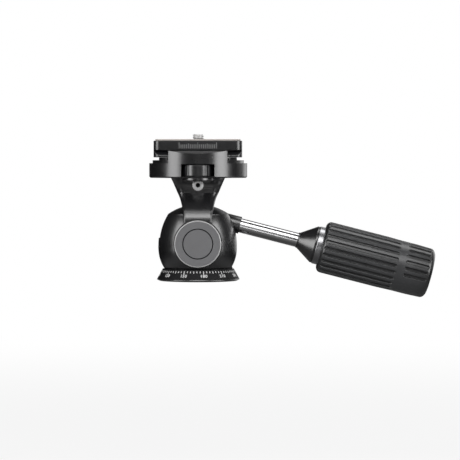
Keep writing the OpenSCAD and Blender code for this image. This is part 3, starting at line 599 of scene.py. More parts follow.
def end_with_copies(graph, given, spot=None, turn=None, size=None):
    """Ends the tree with copies of what it is given, one on each point."""
    points = graph.node("GeometryNodePoints", None, {"Count": given["Count"], "Position": spot})
    copies = graph.node("GeometryNodeInstanceOnPoints", None, {
        "Points": points, "Instance": given["Geometry"], "Rotation": turn, "Scale": size})
    return end_tree(graph, given, copies)


def sectors_tree(name):
    """Repeats a sector round the Z axis."""
    graph, given = geometry_tree(name, {
        "Count": "Int", "Step": "Float", "First": "Float", "Material": "Material"})
    index = graph.node("GeometryNodeInputIndex")
    return end_with_copies(graph, given, turn=graph.xyz(z=index * given["Step"] + given["First"]))


def mark_length(given, index):
    """The length of a mark by its index: every so many are middle or long."""
    middle = (index % given["Middle Every"]) < 0.5
    longest = (index % given["Long Every"]) < 0.5
    return (given["Short"] + middle * (given["Middle"] - given["Short"])
            + longest * (given["Long"] - given["Middle"]))


def cone_marks_tree(name):
    """Marks round a cone, all starting at one height."""
    graph, given = geometry_tree(name, {
        **MARK_SOCKETS, "Radius": "Float", "Height": "Float", "Lean": "Float", "First": "Float"})
    index = graph.node("GeometryNodeInputIndex")
    angle = index * FULL_TURN / given["Count"] + given["First"]
    spot = graph.xyz(graph.math("COSINE", angle) * given["Radius"],
                     graph.math("SINE", angle) * given["Radius"], given["Height"])
    size = graph.xyz(1.0, 1.0, mark_length(given, index))
    return end_with_copies(graph, given, spot, graph.xyz(y=given["Lean"], z=angle), size)


def row_marks_tree(name):
    """Marks in a row along X, all starting at one height."""
    graph, given = geometry_tree(name, {**MARK_SOCKETS, "Step": "Float", "Start": "Vector"})
    index = graph.node("GeometryNodeInputIndex")
    spot = graph.vector("ADD", given["Start"], graph.xyz(index * given["Step"]))
    return end_with_copies(graph, given, spot, size=graph.xyz(1.0, 1.0, mark_length(given, index)))


def helix_tree(name):
    """A wire wound along Z: a thread's ridge or a spring."""
    graph, given = geometry_tree(name, {
        "Radius": "Float", "Height": "Float", "Turns": "Float", "Wire": "Float", "Sides": "Int",
        "Material": "Material"})
    path = graph.node("GeometryNodeCurveSpiral", None, {
        "Resolution": 40, "Rotations": given["Turns"], "Start Radius": given["Radius"],
        "End Radius": given["Radius"], "Height": given["Height"]})
    section = graph.node("GeometryNodeCurvePrimitiveCircle", None, {
        "Resolution": given["Sides"], "Radius": given["Wire"]})
    wire = graph.node("GeometryNodeCurveToMesh", None, {
        "Curve": path, "Profile Curve": section, "Fill Caps": True})
    return end_tree(graph, given, wire)


TREES = {"sectors_round_axis": sectors_tree, "marks_round_cone": cone_marks_tree,
         "marks_in_row": row_marks_tree, "helix": helix_tree}


def run_tree(name, mesh, tree_name, place, paint, values):
    """A piece that a tree makes from a bmesh, kept as a plain mesh at its place."""
    piece = add_piece(name, mesh)
    tree = bpy.data.node_groups.get(tree_name) or TREES[tree_name](tree_name)
    step = piece.modifiers.new("nodes", "NODES")
    step.node_group = tree
    values = {**values, "Material": material(paint)}
    for item in tree.interface.items_tree:
        if item.in_out == "INPUT" and item.name in values:
            step[item.identifier] = values[item.name]
    settle(piece)
    piece.data.transform(place)
    return piece


def helix(name, place, radius, height, turns, wire, sides, paint):
    """A wire wound along a frame's Z axis."""
    return run_tree(name, bmesh.new(), "helix", place, paint, {
        "Radius": radius, "Height": height, "Turns": turns, "Wire": wire, "Sides": sides})


def marks(name, mesh, tree_name, paint, every, lengths, values):
    """A scale's marks, short, middle and long, from a mesh one metre long."""
    return run_tree(name, mesh, tree_name, UPRIGHT, paint, {
        "Middle Every": every[0], "Long Every": every[1], "Short": lengths[0], "Middle": lengths[1],
        "Long": lengths[2], **values})


def repeated(name, sector, place, count, paint, total=None, first=0.0):
    """A sector's bmesh repeated round a frame's Z axis, count times of total."""
    step = FULL_TURN / (total or count)
    return run_tree(name, sector, "sectors_round_axis", place, paint, {
        "Count": count, "Step": step, "First": first * step})


def sector_of(profile, span, across, dent):
    """One sector of a turned solid whose radius is dented.

    profile holds (radius, height) points, span is the sector's angle, across the shares of half the
    span at which it is cut, and dent(angle, radius, height) how much the radius loses there.
    """
    mesh = bmesh.new()
    columns = []
    for share in across:
        angle = share * span / 2
        points = [on_circle(max(radius - dent(angle, radius, height), 0), angle, height)
                  for radius, height in profile]
        columns.append([mesh.verts.new(point) for point in points])
    for left, right in zip(columns, columns[1:]):
        for i in range(len(profile) - 1):
            mesh.faces.new((left[i], right[i], right[i + 1], left[i + 1]))
    return mesh


# Base

RING = Extent("base_ring")
RING_LIP = 1.25 * MM
RING_TOP_RADIUS = 20.3 * MM
RING_FOOT_RADIUS = 22 * MM
LIP_FACET = 0.5 * MM
LIP_LEAN = math.radians(25)
LIP_RADIUS = RING.radius - LIP_FACET * math.tan(LIP_LEAN)
CONE_LEAN = math.atan2(RING.radius - RING_TOP_RADIUS, RING.high.z - RING_LIP)
MARK_TOP_DROP = 0.75 * MM
MARK_LENGTHS = (1.15 * MM, 1.45 * MM, 2.0 * MM)
MARK_EVERY = (3.0, 6.0)
MARK_COUNT = 72
FIGURE_STEP = 30
FIGURE_ABOVE_FOOT = 3.3 * MM
FIGURE_BOLD = 0.09 * MM
FIGURE_SPACING = 1.1
CAPITAL_SHARE = 0.7
SPINDLE_SCREWS = 3
SCREW_HEAD_RADIUS = 2.8 * MM
SCREW_POCKET_RADIUS = 1.04 * SCREW_HEAD_RADIUS
SCREW_POCKET_DEPTH = 1.6 * MM
MOUNT_BORE = next(m["dims"]["r_mm"] * MM for m in frame["record"]["mounts"] if m["name"] == "tripod_thread")
MOUNT_PITCH = 1.5875 * MM
MOUNT_RIDGE = 0.42 * MM
MOUNT_RIDGE_SINK = 0.1 * MM
MOUNT_THREAD_SHARE = 0.92


def cone_radius(height):
    """The radius of the degree ring's cone at a height."""
    share = (height - RING_LIP) / (RING.high.z - RING_LIP)
    return LIP_RADIUS + (RING_TOP_RADIUS - LIP_RADIUS) * share


def number_on_cone(number, angle):
    """A number on the degree ring, bent round its cone."""
    text = bpy.data.curves.new("number", "FONT")
    text.body = str(number)
    text.align_x = "CENTER"
    text.align_y = "CENTER"
    text.size = sizes().figure_height / CAPITAL_SHARE
    text.offset = FIGURE_BOLD
    text.extrude = sizes().ink
    text.resolution_u = 2
    text.space_character = FIGURE_SPACING
    written = bpy.data.objects.new("number", text)
    bpy.context.scene.collection.objects.link(written)
    graph = bpy.context.evaluated_depsgraph_get()
    mesh = bmesh.new()
    mesh.from_mesh(bpy.data.meshes.new_from_object(written.evaluated_get(graph)))
    bpy.data.objects.remove(written)
    for vertex in mesh.verts:
        across, up, out = vertex.co
        height = FIGURE_ABOVE_FOOT + up * math.cos(CONE_LEAN)
        radius = cone_radius(height)
        vertex.co = on_circle(radius + out * math.cos(CONE_LEAN), angle + across / radius,
                              height + out * math.sin(CONE_LEAN))
    return add_piece("number", mesh)


class HEAD_OT_base(bpy.types.Operator):
    """Base: the degree ring with its marks and numbers, and the thread in its bush"""

    bl_idname = "head.base"
    bl_label = "Base"

    def execute(self, context):
        size = context.scene.head_sizes
        edge = size.edge
        bush = Extent("thread_bush")
        foot = Extent("pan_spindle")
        ring = turned_piece("degree_ring", [
            (bush.radius, 0, 0), (RING_FOOT_RADIUS, 0, edge), (RING.radius, RING_LIP - LIP_FACET, edge / 3),
            (LIP_RADIUS, RING_LIP, 0), (RING_TOP_RADIUS, RING.high.z, edge / 2),
            (foot.radius, RING.high.z, edge), (foot.radius, foot.low.z, 0), (bush.radius, foot.low.z, 0)],
            turns=240)
        screw_circle = Extent("spindle_screws").radius - SCREW_HEAD_RADIUS
        for i in range(SPINDLE_SCREWS):
            place = Matrix.Translation(on_circle(screw_circle, i * FULL_TURN / SPINDLE_SCREWS))
            combine(ring, rod_along(place, SCREW_POCKET_RADIUS, -MM, SCREW_POCKET_DEPTH, turns=48))
        paint_faces(ring, UPRIGHT, "black_anodised", "dull_black",
                    lambda spot: spot.z > RING_LIP and math.hypot(spot.x, spot.y) > foot.radius)
        dress(ring, "base_ring")
        top = RING.high.z - MARK_TOP_DROP
        first = size.ring_turn - QUARTER_TURN - FULL_TURN / 2
        unit = block((-size.ink / 2, -size.mark_width / 2, -1), (size.ink / 2, size.mark_width / 2, 0))
        scale = marks("degree_marks", unit, "marks_round_cone", "white_ink", MARK_EVERY, MARK_LENGTHS, {
            "Count": MARK_COUNT, "Radius": cone_radius(top), "Height": top, "Lean": -CONE_LEAN,
            "First": first})
        figures = [number_on_cone(n, first + math.radians(n)) for n in range(0, 360, FIGURE_STEP)]
        attach(scale, "base_ring", "nylon", "white_ink")
        attach(join("degree_numbers", figures), "base_ring", "nylon", "white_ink")
        length = bush.length * MOUNT_THREAD_SHARE
        thread = helix("mount_thread", Matrix.Translation((0, 0, (bush.length - length) / 2)),
                       MOUNT_BORE - MOUNT_RIDGE_SINK, length, length / MOUNT_PITCH, MOUNT_RIDGE,
                       sides=3, paint="steel")
        attach(thread, "base_ring", "steel")
        dress_copy("thread_bush", "threaded_bush", edge)
        dress_copy("spindle_screws", "foot_screws", edge / 2)
        return {"FINISHED"}


# Housing

BARREL_UPPER_ARC = 34.7 * MM
BARREL_LOWER_ARC = 21 * MM
BARREL_WAIST = (18.5 * MM, 20.5 * MM)
DOME_RADIUS = 31 * MM
RIM_HEIGHT = 38.1 * MM
RIM_FACET = 0.45 * MM
RIM_LEAN = math.radians(20)
SLOT_HALF_WIDTH = 5.8 * MM
SWING_REACH = 60 * MM
SWING_FAR = 90 * MM
SWING_FOOT = -12 * MM
WEB_BACK = 2.8 * MM
WEB_FRONT = 4.3 * MM
WEB_LOW = 10.4 * MM
HUB_ROOM_RADIUS = 8.4 * MM
DRAG_BORE_RADIUS = 1.4 * MM
DRAG_SCREW_EDGE = 0.1 * MM
POCKET_GAP = 0.5 * MM
POCKET_FLOOR = 16.9 * MM
BUSH_RADIUS = 5.45 * MM
SPINDLE_ROOM = 4.7 * MM
BEYOND = 40 * MM


def barrel_outline(barrel_r, low, steps=40):
    """The barrel of two arcs under the dome, with a small steep facet round the rim."""
    lower = (barrel_r - BARREL_LOWER_ARC, BARREL_WAIST[0])
    upper = (barrel_r - BARREL_UPPER_ARC, BARREL_WAIST[1])
    low_turn = math.asin((BARREL_WAIST[0] - low) / BARREL_LOWER_ARC)
    high_turn = math.asin((RIM_HEIGHT - RIM_FACET - BARREL_WAIST[1]) / BARREL_UPPER_ARC)
    full_turn = math.asin((RIM_HEIGHT - BARREL_WAIST[1]) / BARREL_UPPER_ARC)
    rim_r = upper[0] + BARREL_UPPER_ARC * math.cos(full_turn)
    dome_low = RIM_HEIGHT - math.sqrt(DOME_RADIUS ** 2 - rim_r ** 2)
    side = arc(upper, BARREL_UPPER_ARC, 0, high_turn, steps)
    facet_top = side[-1] + Vector((-RIM_FACET * math.tan(RIM_LEAN), RIM_FACET))
    return ([Vector((0, low))] + arc(lower, BARREL_LOWER_ARC, -low_turn, 0, steps) + side + [facet_top]
            + arc((0, dome_low), DOME_RADIUS, math.acos(rim_r / DOME_RADIUS), QUARTER_TURN, steps))


def swing_outline(low_angle, high_angle):
    """The slot in the plane of the swing, for the hub, its web and its boss."""
    out_high = Vector((math.cos(high_angle), math.sin(high_angle)))
    out_low = Vector((math.cos(low_angle), math.sin(low_angle)))
    back = -WEB_BACK * Vector((out_high.y, -out_high.x))
    ahead = Vector((out_low.y, -out_low.x))
    return [Vector((0, 0)), back, back + SWING_REACH * out_high, Vector((-SWING_REACH, SWING_FAR)),
            Vector((SWING_FAR, SWING_FAR)), Vector((SWING_FAR, SWING_FOOT)),
            WEB_LOW * out_low + SWING_REACH * ahead, WEB_LOW * out_low + WEB_FRONT * ahead,
            WEB_FRONT * ahead]


class HEAD_OT_housing(bpy.types.Operator):
    """Housing: the barrel under its dome, with the swing slot and the side pockets"""

    bl_idname = "head.housing"
    bl_label = "Housing"

    def execute(self, context):
        shell = Extent("housing")
        low = shell.low.z
        outline = barrel_outline(shell.radius, low)
        barrel = add_piece("barrel_housing", turned(outline, turns=256, closed=False))
        spindle_r = Extent("pan_retaining_ring").radius
        combine(barrel, rod_along(UPRIGHT, spindle_r, low - MM, low + SPINDLE_ROOM))
        droop = math.acos(JOINTS["handle_twist"]["axis"][0])
        tilt_low, tilt_high = [math.radians(v) for v in JOINTS["tilt"]["range_deg"]]
        start = QUARTER_TURN - droop
        combine(barrel, prism(swing_outline(start + tilt_low, start + tilt_high), SLOT_HALF_WIDTH,
                              Matrix.Translation(PIVOT) @ Matrix.Rotation(QUARTER_TURN, 4, "X")))
        side = place_along(PIVOT, FRONT, RIGHT)
        combine(barrel, rod_along(side, HUB_ROOM_RADIUS, -SLOT_HALF_WIDTH, SLOT_HALF_WIDTH))
        pocket_r = Extent("side_cap_front", CAP_FRONT).radius + POCKET_GAP
        for place in (CAP_FRONT, CAP_REAR):
            combine(barrel, rod_along(place, pocket_r, POCKET_FLOOR, BEYOND, turns=160))
            combine(barrel, rod_along(place, BUSH_RADIUS, SLOT_HALF_WIDTH / 2, BEYOND / 2, turns=64))
        drag = Extent("tilt_drag_screw", place_along(PIVOT, -RIGHT))
        bore = place_along(Vector((0, 0, PIVOT.z + drag.centre.x)), -RIGHT)
        combine(barrel, rod_along(bore, DRAG_BORE_RADIUS, SLOT_HALF_WIDTH, BEYOND, turns=48))
        dress(barrel, "housing")
        dress_copy("tilt_drag_screw", "drag_set_screw", DRAG_SCREW_EDGE)
        return {"FINISHED"}


# Yoke. The tables give shares of the way from the arms' ends to the top, and what is reached there:
# shares of the way between two half widths or depths, or the corner's radius in millimetres.

YOKE_SIDE_SHARES = ((0, 0), (0.16, 0.01), (0.3, 0.08), (0.51, 0.26), (0.72, 0.57), (0.87, 0.79), (1, 0.99))
ARM_DEPTH_SHARES = ((0, 1), (0.1, 0.97), (0.26, 0.8), (0.42, 0.5), (0.58, 0.14), (0.66, 0))
NECK_DEPTH_SHARES = ((0.7, 0), (0.84, 0.12), (0.93, 0.5), (0.97, 0.85), (1, 1))
NECK_START_SHARE = 0.77
YOKE_CORNERS = ((0, 1.1), (0.3, 1.8), (0.55, 4), (0.85, 5), (1, 6))
YOKE_RINGS = 56
YOKE_TOP = 58.6 * MM
ARM_END = 33.5 * MM
HALF_WIDTHS = (8.1 * MM, 15.4 * MM)
WAIST_DEPTH = 12 * MM
TOP_DEPTH = 16.5 * MM
ARM_OUTER = 22.2 * MM
ARM_INNER = 19.7 * MM
HOLLOW_RADIUS = 25.1 * MM
EYE_RADIUS = 13 * MM
EYE_FLOOR = 17.2 * MM
CAP_RECESS_GAP = 0.8 * MM
SEAT_HEIGHT = 2.4 * MM
SEAT_FOOT_RADIUS = 7 * MM
SEAT_RADIUS = 8.8 * MM
NECK_SCREW_HEAD = 2.6 * MM
SCREW_ROOM_RADIUS = 3.4 * MM


def along_table(table, place):
    """A smooth reading of a table of (place, value) rows."""
    if place <= table[0][0]:
        return table[0][1]
    if place >= table[-1][0]:
        return table[-1][1]
    slopes = [(b[1] - a[1]) / (b[0] - a[0]) for a, b in zip(table, table[1:])]
    leans = [slopes[0]] + [2 * p * q / (p + q) if p * q > 0 else 0 for p, q in zip(slopes, slopes[1:])]
    leans.append(slopes[-1])
    for i, (left, right) in enumerate(zip(table, table[1:])):
        if place <= right[0]:
            width = right[0] - left[0]
            t = (place - left[0]) / width
            return ((2 * t ** 3 - 3 * t ** 2 + 1) * left[1] + (t ** 3 - 2 * t ** 2 + t) * width * leans[i]
                    + (3 * t ** 2 - 2 * t ** 3) * right[1] + (t ** 3 - t ** 2) * width * leans[i + 1])


def rounded_rectangle(half_w, half_d, corner, height, steps=8, edge_steps=6):
    """A ring of points: a rectangle with round corners, and points along its edges."""
    quarters = ((1, -1), (1, 1), (-1, 1), (-1, -1))
    points = []
    for quarter in range(4):
        centre, following = [Vector((x * (half_w - corner), y * (half_d - corner), height))
                             for x, y in (quarters[quarter], quarters[(quarter + 1) % 4])]
        for i in range(steps + 1):
            angle = (quarter - 1) * QUARTER_TURN + i * QUARTER_TURN / steps
            points.append(centre + on_circle(1, angle) * corner)
        goal = following + on_circle(1, angle) * corner
        for i in range(1, edge_steps):
            points.append(points[-1].lerp(goal, 1 / (edge_steps - i + 1)))
    return points


def yoke_ring(share):
    """The yoke's outline at a share of its height."""
    width = HALF_WIDTHS[0] + (HALF_WIDTHS[1] - HALF_WIDTHS[0]) * along_table(YOKE_SIDE_SHARES, share)
    if share < NECK_START_SHARE:
        depth = WAIST_DEPTH + (ARM_OUTER - WAIST_DEPTH) * along_table(ARM_DEPTH_SHARES, share)
    else:
        depth = WAIST_DEPTH + (TOP_DEPTH - WAIST_DEPTH) * along_table(NECK_DEPTH_SHARES, share)
    corner = along_table(YOKE_CORNERS, share) * MM
    return rounded_rectangle(width, depth, corner, ARM_END + (YOKE_TOP - ARM_END) * share)


def neck_screw_place():
    """The frame of the neck screw, from the pan axis out to the front."""
    return place_along(Vector((0, 0, Extent("neck_screw", FACING).centre.x)), FRONT)


class HEAD_OT_yoke(bpy.types.Operator):
    """Yoke: the waisted neck and its two arms, with the eyes in the side pockets"""

    bl_idname = "head.yoke"
    bl_label = "Yoke"

    def execute(self, context):
        rings = [yoke_ring(i / YOKE_RINGS) for i in range(YOKE_RINGS + 1)]
        casting = add_piece("yoke_casting", stacked(rings))
        ball = turned(arc((0, 0), HOLLOW_RADIUS, -QUARTER_TURN, QUARTER_TURN, steps=48),
                      Matrix.Translation(PIVOT), turns=128, closed=False)
        hollow = add_piece("hollow", ball)
        combine(hollow, block((-FAR, -ARM_INNER, -FAR), (FAR, ARM_INNER, FAR)), "INTERSECT")
        tool = bmesh.new()
        tool.from_mesh(hollow.data)
        bpy.data.objects.remove(hollow)
        combine(casting, tool)
        cap = Extent("side_cap_front", CAP_FRONT)
        eye_out = cap.low.z
        recess = cap.radius + CAP_RECESS_GAP
        for place in (CAP_FRONT, CAP_REAR):
            combine(casting, rod_along(place, EYE_RADIUS, EYE_FLOOR, eye_out, turns=128), "UNION")
            web = block((0, -HALF_WIDTHS[0], ARM_INNER), (recess, HALF_WIDTHS[0], eye_out), place)
            combine(casting, web, "UNION")
            combine(casting, rod_along(place, recess, eye_out, BEYOND, turns=160))
        wheel = Vector(JOINTS["wheel_turn"]["pos_m"])
        seat = turned([(0, YOKE_TOP - SEAT_HEIGHT), (SEAT_FOOT_RADIUS, YOKE_TOP - SEAT_HEIGHT),
                       (SEAT_RADIUS, YOKE_TOP - SEAT_HEIGHT / 2), (SEAT_RADIUS, YOKE_TOP), (0, YOKE_TOP)],
                      Matrix.Translation((wheel.x, wheel.y, 0)), turns=96, closed=False)
        combine(casting, seat, "UNION")
        seat = Extent("neck_screw", FACING).high.z - NECK_SCREW_HEAD
        combine(casting, rod_along(neck_screw_place(), SCREW_ROOM_RADIUS, seat, BEYOND, turns=64))
        dress(casting, "yoke")
        return {"FINISHED"}


# Side caps

CAP_CHAMFER = 0.5 * MM
CAP_EDGE = 0.05 * MM
CAP_GROOVE = 0.6 * MM
CAP_ANGLE = math.radians(20)
# The inlay's ledge on the groove's floor, which carries the groove's painted shade
GROOVE_LEDGE = 0.15 * MM
INLAY_EDGE = 0.08 * MM


class HEAD_OT_caps(bpy.types.Operator):
    """Side caps: satin discs with a bright cut edge, and their inlays"""

    bl_idname = "head.caps"
    bl_label = "Side caps"

    def execute(self, context):
        for side, place in (("front", CAP_FRONT), ("rear", CAP_REAR)):
            cap = Extent("side_cap_" + side, place)
            inlay = Extent("cap_inlay_" + side, place)
            face = cap.radius - CAP_CHAMFER
            shoulder = cap.high.z - CAP_CHAMFER
            ledge = inlay.low.z
            groove = inlay.radius + CAP_GROOVE
            disc = turned_piece("cap_" + side, [
                (0, cap.low.z, 0), (cap.radius, cap.low.z, 0), (cap.radius, shoulder, 0),
                (face, cap.high.z, 0), (groove, cap.high.z, CAP_EDGE), (groove, ledge, 0), (0, ledge, 0)],
                place, turns=240, closed=False)
            paint_faces(disc, place, "grey_anodised", "cut_edge",
                        lambda spot: math.hypot(spot.x, spot.y) > face and spot.z > shoulder)
            dress(disc, "side_cap_" + side, angle=CAP_ANGLE)
            disc = turned_piece("inlay_" + side, [
                (0, ledge, 0), (groove, ledge, 0), (groove, ledge + GROOVE_LEDGE, 0),
                (inlay.radius, ledge + GROOVE_LEDGE, 0), (inlay.radius, inlay.high.z, INLAY_EDGE),
                (0, inlay.high.z, 0)], place, turns=200, closed=False)
            # The inlay's side wall and its ledge on the groove's floor are painted dull black: painted shade
            # in the groove round the inlay
            paint_faces(disc, place, "grey_anodised", "dull_black",
                        lambda spot: spot.z < inlay.high.z - INLAY_EDGE)
            dress(disc, "cap_inlay_" + side, angle=CAP_ANGLE)
        return {"FINISHED"}


# Clamp. A dull black strip on each land closes the slit under the plate, as painted shade.

STRIP_INNER = 17.2 * MM
STRIP_OUTER = 21.8 * MM
STRIP_HALF_DEPTH = 12 * MM
STRIP_LOW = -0.3 * MM
STRIP_HIGH = -0.04 * MM


class HEAD_OT_clamp(bpy.types.Operator):
    """Clamp: the round body with its fixed jaw, the moving jaw, and their screws"""

    bl_idname = "head.clamp"
    bl_label = "Clamp"

    def execute(self, context):
        edge = context.scene.head_sizes.edge
        dress_copy("clamp_body", "round_clamp", edge)
        dress_copy("clamp_jaw", "moving_jaw_block", edge)
        plate = Extent("quick_plate").low.z
        # Dull black strips in the slit under the plate: painted shade
        strips = []
        for side in (-1, 1):
            near, away = sorted((side * STRIP_INNER, side * STRIP_OUTER))
            strips.append(add_piece("strip", block((near, -STRIP_HALF_DEPTH, plate + STRIP_LOW),
                                                   (away, STRIP_HALF_DEPTH, plate + STRIP_HIGH))))
        attach(join("land_strips", strips), "clamp_body", "black_anodised", "dull_black")
        dress_copy("side_screw", "edge_screw", edge / 2)
        dress_copy("clamp_bolt", "centre_bolt", edge / 2)
        dress_copy("wheel_pin", "wheel_axle", edge / 2)
        return {"FINISHED"}


KNURLS = 16
KNURL_DEPTH = 0.35 * MM
KNURL_CUTS = 4
KNURL_START_SHARE = 0.9
SHANK_RADIUS = 2 * MM
FACE_RADIUS = 2 * MM
FACE_LEAN = math.radians(28)
SOCKET_RADIUS = 1.4 * MM
SOCKET_DEPTH = 2.4 * MM
SOCKET_TOLERANCE = 0.014 * MM
SOCKET_RIM = 0.1 * MM


class HEAD_OT_neck_screw(bpy.types.Operator):
    """Neck screw: a knurled head with a hex socket"""

    bl_idname = "head.neck_screw"
    bl_label = "Neck screw"

    def execute(self, context):
        place = neck_screw_place()
        screw = Extent("neck_screw", place)
        tip = screw.high.z
        seat = tip - NECK_SCREW_HEAD
        span = FULL_TURN / KNURLS
        shoulder = tip - (screw.radius - FACE_RADIUS) * math.tan(FACE_LEAN)
        outline = [Vector(point) for point in (
            (0, screw.low.z), (SHANK_RADIUS, screw.low.z), (SHANK_RADIUS, seat), (screw.radius, seat),
            (screw.radius, shoulder), (FACE_RADIUS, tip), (0, tip))]

        def dent(angle, radius, height):
            if radius < screw.radius * KNURL_START_SHARE:
                return 0
            return KNURL_DEPTH * max(math.cos(math.pi * angle / span), 0) ** 2

        cuts = [i / KNURL_CUTS for i in range(-KNURL_CUTS, KNURL_CUTS + 1)]
        knurled = repeated("neck_screw_head", sector_of(outline, span, cuts, dent), place, KNURLS,
                           "bright_screw")
        head = join("neck_screw_head", [knurled])
        hexagon = [on_circle(SOCKET_RADIUS, i * FULL_TURN / 6).xy for i in range(6)]
        combine(head, prism(hexagon, SOCKET_DEPTH, place @ Matrix.Translation((0, 0, tip))))
        # The hex socket's walls and floor are painted dull black: painted shade inside the socket
        paint_faces(head, place, "bright_screw", "dull_black",
                    lambda spot: math.hypot(spot.x, spot.y) < SOCKET_RADIUS - SOCKET_TOLERANCE
                    and seat < spot.z < tip - SOCKET_RIM)
        dress(head, "neck_screw")
        return {"FINISHED"}


FLUTE_RADIUS = 1.35 * MM
FLUTE_OUT = 0.5 * MM
FLUTE_CUTS = 36
FIRST_FLUTE_SHARE = 0.21
WHEEL_CHAMFER = 0.5 * MM
WHEEL_EDGE = 0.2 * MM
WHEEL_PIN_GAP = 0.05 * MM


class HEAD_OT_wheel(bpy.types.Operator):
    """Wheel: the fluted wheel in the clamp's window"""

    bl_idname = "head.wheel"
    bl_label = "Wheel"

    def execute(self, context):
        axis = Vector(JOINTS["wheel_turn"]["pos_m"])
        place = Matrix.Translation((axis.x, axis.y, 0))
        wheel = Extent("jaw_wheel", place)
        bore = Extent("wheel_pin", place).radius + WHEEL_PIN_GAP
        count = context.scene.head_sizes.flutes
        span = FULL_TURN / count
        flute_centre = wheel.radius + FLUTE_OUT
        face = wheel.radius - WHEEL_CHAMFER
        low, high = wheel.low.z, wheel.high.z
        outline = rounded([
            (bore, low, 0), (face, low, WHEEL_EDGE), (wheel.radius, low + WHEEL_CHAMFER, WHEEL_EDGE),
            (wheel.radius, high - WHEEL_CHAMFER, WHEEL_EDGE), (face, high, WHEEL_EDGE), (bore, high, 0)],
            steps=3)
        outline.append(outline[0])

        def dent(angle, radius, height):
            if radius < wheel.radius / 2:
                return 0
            inside = FLUTE_RADIUS ** 2 - (flute_centre * math.sin(angle)) ** 2
            wall = wheel.radius
            if inside > 0:
                wall = min(wall, flute_centre * math.cos(angle) - math.sqrt(inside))
            return wheel.radius - wall

        cuts = [i / FLUTE_CUTS for i in range(-FLUTE_CUTS, FLUTE_CUTS + 1)]
        fluted = repeated("fluted_wheel", sector_of(outline, span, cuts, dent), place, count,
                          "gloss_black", first=FIRST_FLUTE_SHARE)
        dress(join("fluted_wheel", [fluted]), "jaw_wheel", "gloss_black")
        return {"FINISHED"}


SPRING_RADIUS = 2.5 * MM
SPRING_WIRE = 0.28 * MM
SPRING_TURNS = 7.0


class HEAD_OT_springs(bpy.types.Operator):
    """Springs: the two coil springs that open the jaw"""

    bl_idname = "head.springs"
    bl_label = "Springs"

    def execute(self, context):
        spring = Extent("jaw_springs", FACING)
        coils = []
        for side, reach in ((-1, spring.low.y), (1, spring.high.y)):
            spot = Vector((side * (abs(reach) - SPRING_RADIUS), -spring.low.z, spring.centre.x))
            coils.append(helix("coil", place_along(spot, FRONT) @ Matrix.Translation((0, 0, SPRING_WIRE)),
                               SPRING_RADIUS - SPRING_WIRE, spring.length - 2 * SPRING_WIRE, SPRING_TURNS,
                               SPRING_WIRE, sides=8, paint="steel"))
        dress(join("jaw_coil_springs", coils), "jaw_springs")
        return {"FINISHED"}


# Plate

SLAB_THICKNESS = 5.3 * MM
PAD_EDGE = 0.25 * MM
RULER_FOOT = 0.9 * MM
RULER_LENGTHS = (2.3 * MM, 2.8 * MM, 3.4 * MM)
RULER_EVERY = (5.0, 10.0)
RULER_DIVISIONS = 20


class HEAD_OT_plate(bpy.types.Operator):
    """Plate: the dovetail plate with its ruler and its pad"""

    bl_idname = "head.plate"
    bl_label = "Plate"

    def execute(self, context):
        size = context.scene.head_sizes
        dress_copy("quick_plate", "dovetail_plate", size.edge)
        dress_copy("plate_pad", "rubber_pad", PAD_EDGE, segments=3)
        half = size.ruler_mark_width / 2
        unit = block((-half, -size.ink / 2, 0), (half, size.ink / 2, 1))
        start = (-RULER_DIVISIONS / 2 * size.ruler_step, Extent("quick_plate").low.y,
                 Extent("plate_pad").low.z - SLAB_THICKNESS + RULER_FOOT)
        ruler = marks("plate_ruler", unit, "marks_in_row", "grey_ink", RULER_EVERY, RULER_LENGTHS, {
            "Count": RULER_DIVISIONS + 1, "Step": size.ruler_step, "Start": start})
        attach(ruler, "quick_plate", "nylon", "grey_ink")
        return {"FINISHED"}


SCREW_RADIUS = 3.175 * MM
SCREW_PITCH = 1.27 * MM
SCREW_THREAD_DEPTH = 0.45 * MM
SCREW_CORE = SCREW_RADIUS - SCREW_THREAD_DEPTH
SCREW_NECK_RADIUS = 2.5 * MM
SCREW_NECK_ABOVE_PAD = 0.2 * MM
SCREW_NECK_FLARE = 0.1 * MM
SCREW_TIP_EDGE = 0.35 * MM
RIDGE_WIRE = 0.34 * MM
RIDGE_SINK = 0.3 * MM
RIDGE_ENDS = 0.75 * MM
KNOB_HEIGHT = 2.2 * MM
KNOB_EDGE = 0.3 * MM
COIN_SLOT = Vector((0.7 * MM, 9 * MM, MM))
# The carrier's edges are rounder than the fillets of the slot it slides in, by this factor
CARRIER_EDGE = 1.5


class HEAD_OT_camera_screw(bpy.types.Operator):
    """Camera screw: its thread above the pad, its slotted knob below the plate, and its carrier"""

    bl_idname = "head.camera_screw"
    bl_label = "Camera screw"

    def execute(self, context):
        screw = Extent("camera_screw")
        foot, tip = screw.low.z, screw.high.z
        neck = Extent("plate_pad").high.z + SCREW_NECK_ABOVE_PAD
        knob = foot + KNOB_HEIGHT
        stem = turned_piece("stem", [
            (0, foot, 0), (screw.radius, foot, KNOB_EDGE), (screw.radius, knob, KNOB_EDGE),
            (SCREW_NECK_RADIUS, knob, 0), (SCREW_NECK_RADIUS, neck, 0),
            (SCREW_CORE, neck + SCREW_NECK_FLARE, 0), (SCREW_CORE, tip, SCREW_TIP_EDGE), (0, tip, 0)],
            turns=96, closed=False)
        combine(stem, block(UP * foot - COIN_SLOT, UP * foot + COIN_SLOT))
        length = tip - neck - RIDGE_ENDS
        ridge = helix("ridge", Matrix.Translation((0, 0, neck + RIDGE_SINK)), SCREW_RADIUS - RIDGE_SINK,
                      length, length / SCREW_PITCH, RIDGE_WIRE, sides=4, paint="bright_screw")
        dress(join("camera_screw_thread", [stem, ridge]), "camera_screw")
        dress_copy("screw_carrier", "carrier_ring", CARRIER_EDGE * context.scene.head_sizes.edge, segments=3)
        return {"FINISHED"}


# Handle. Heights are along the handle, from the joint that twists it.

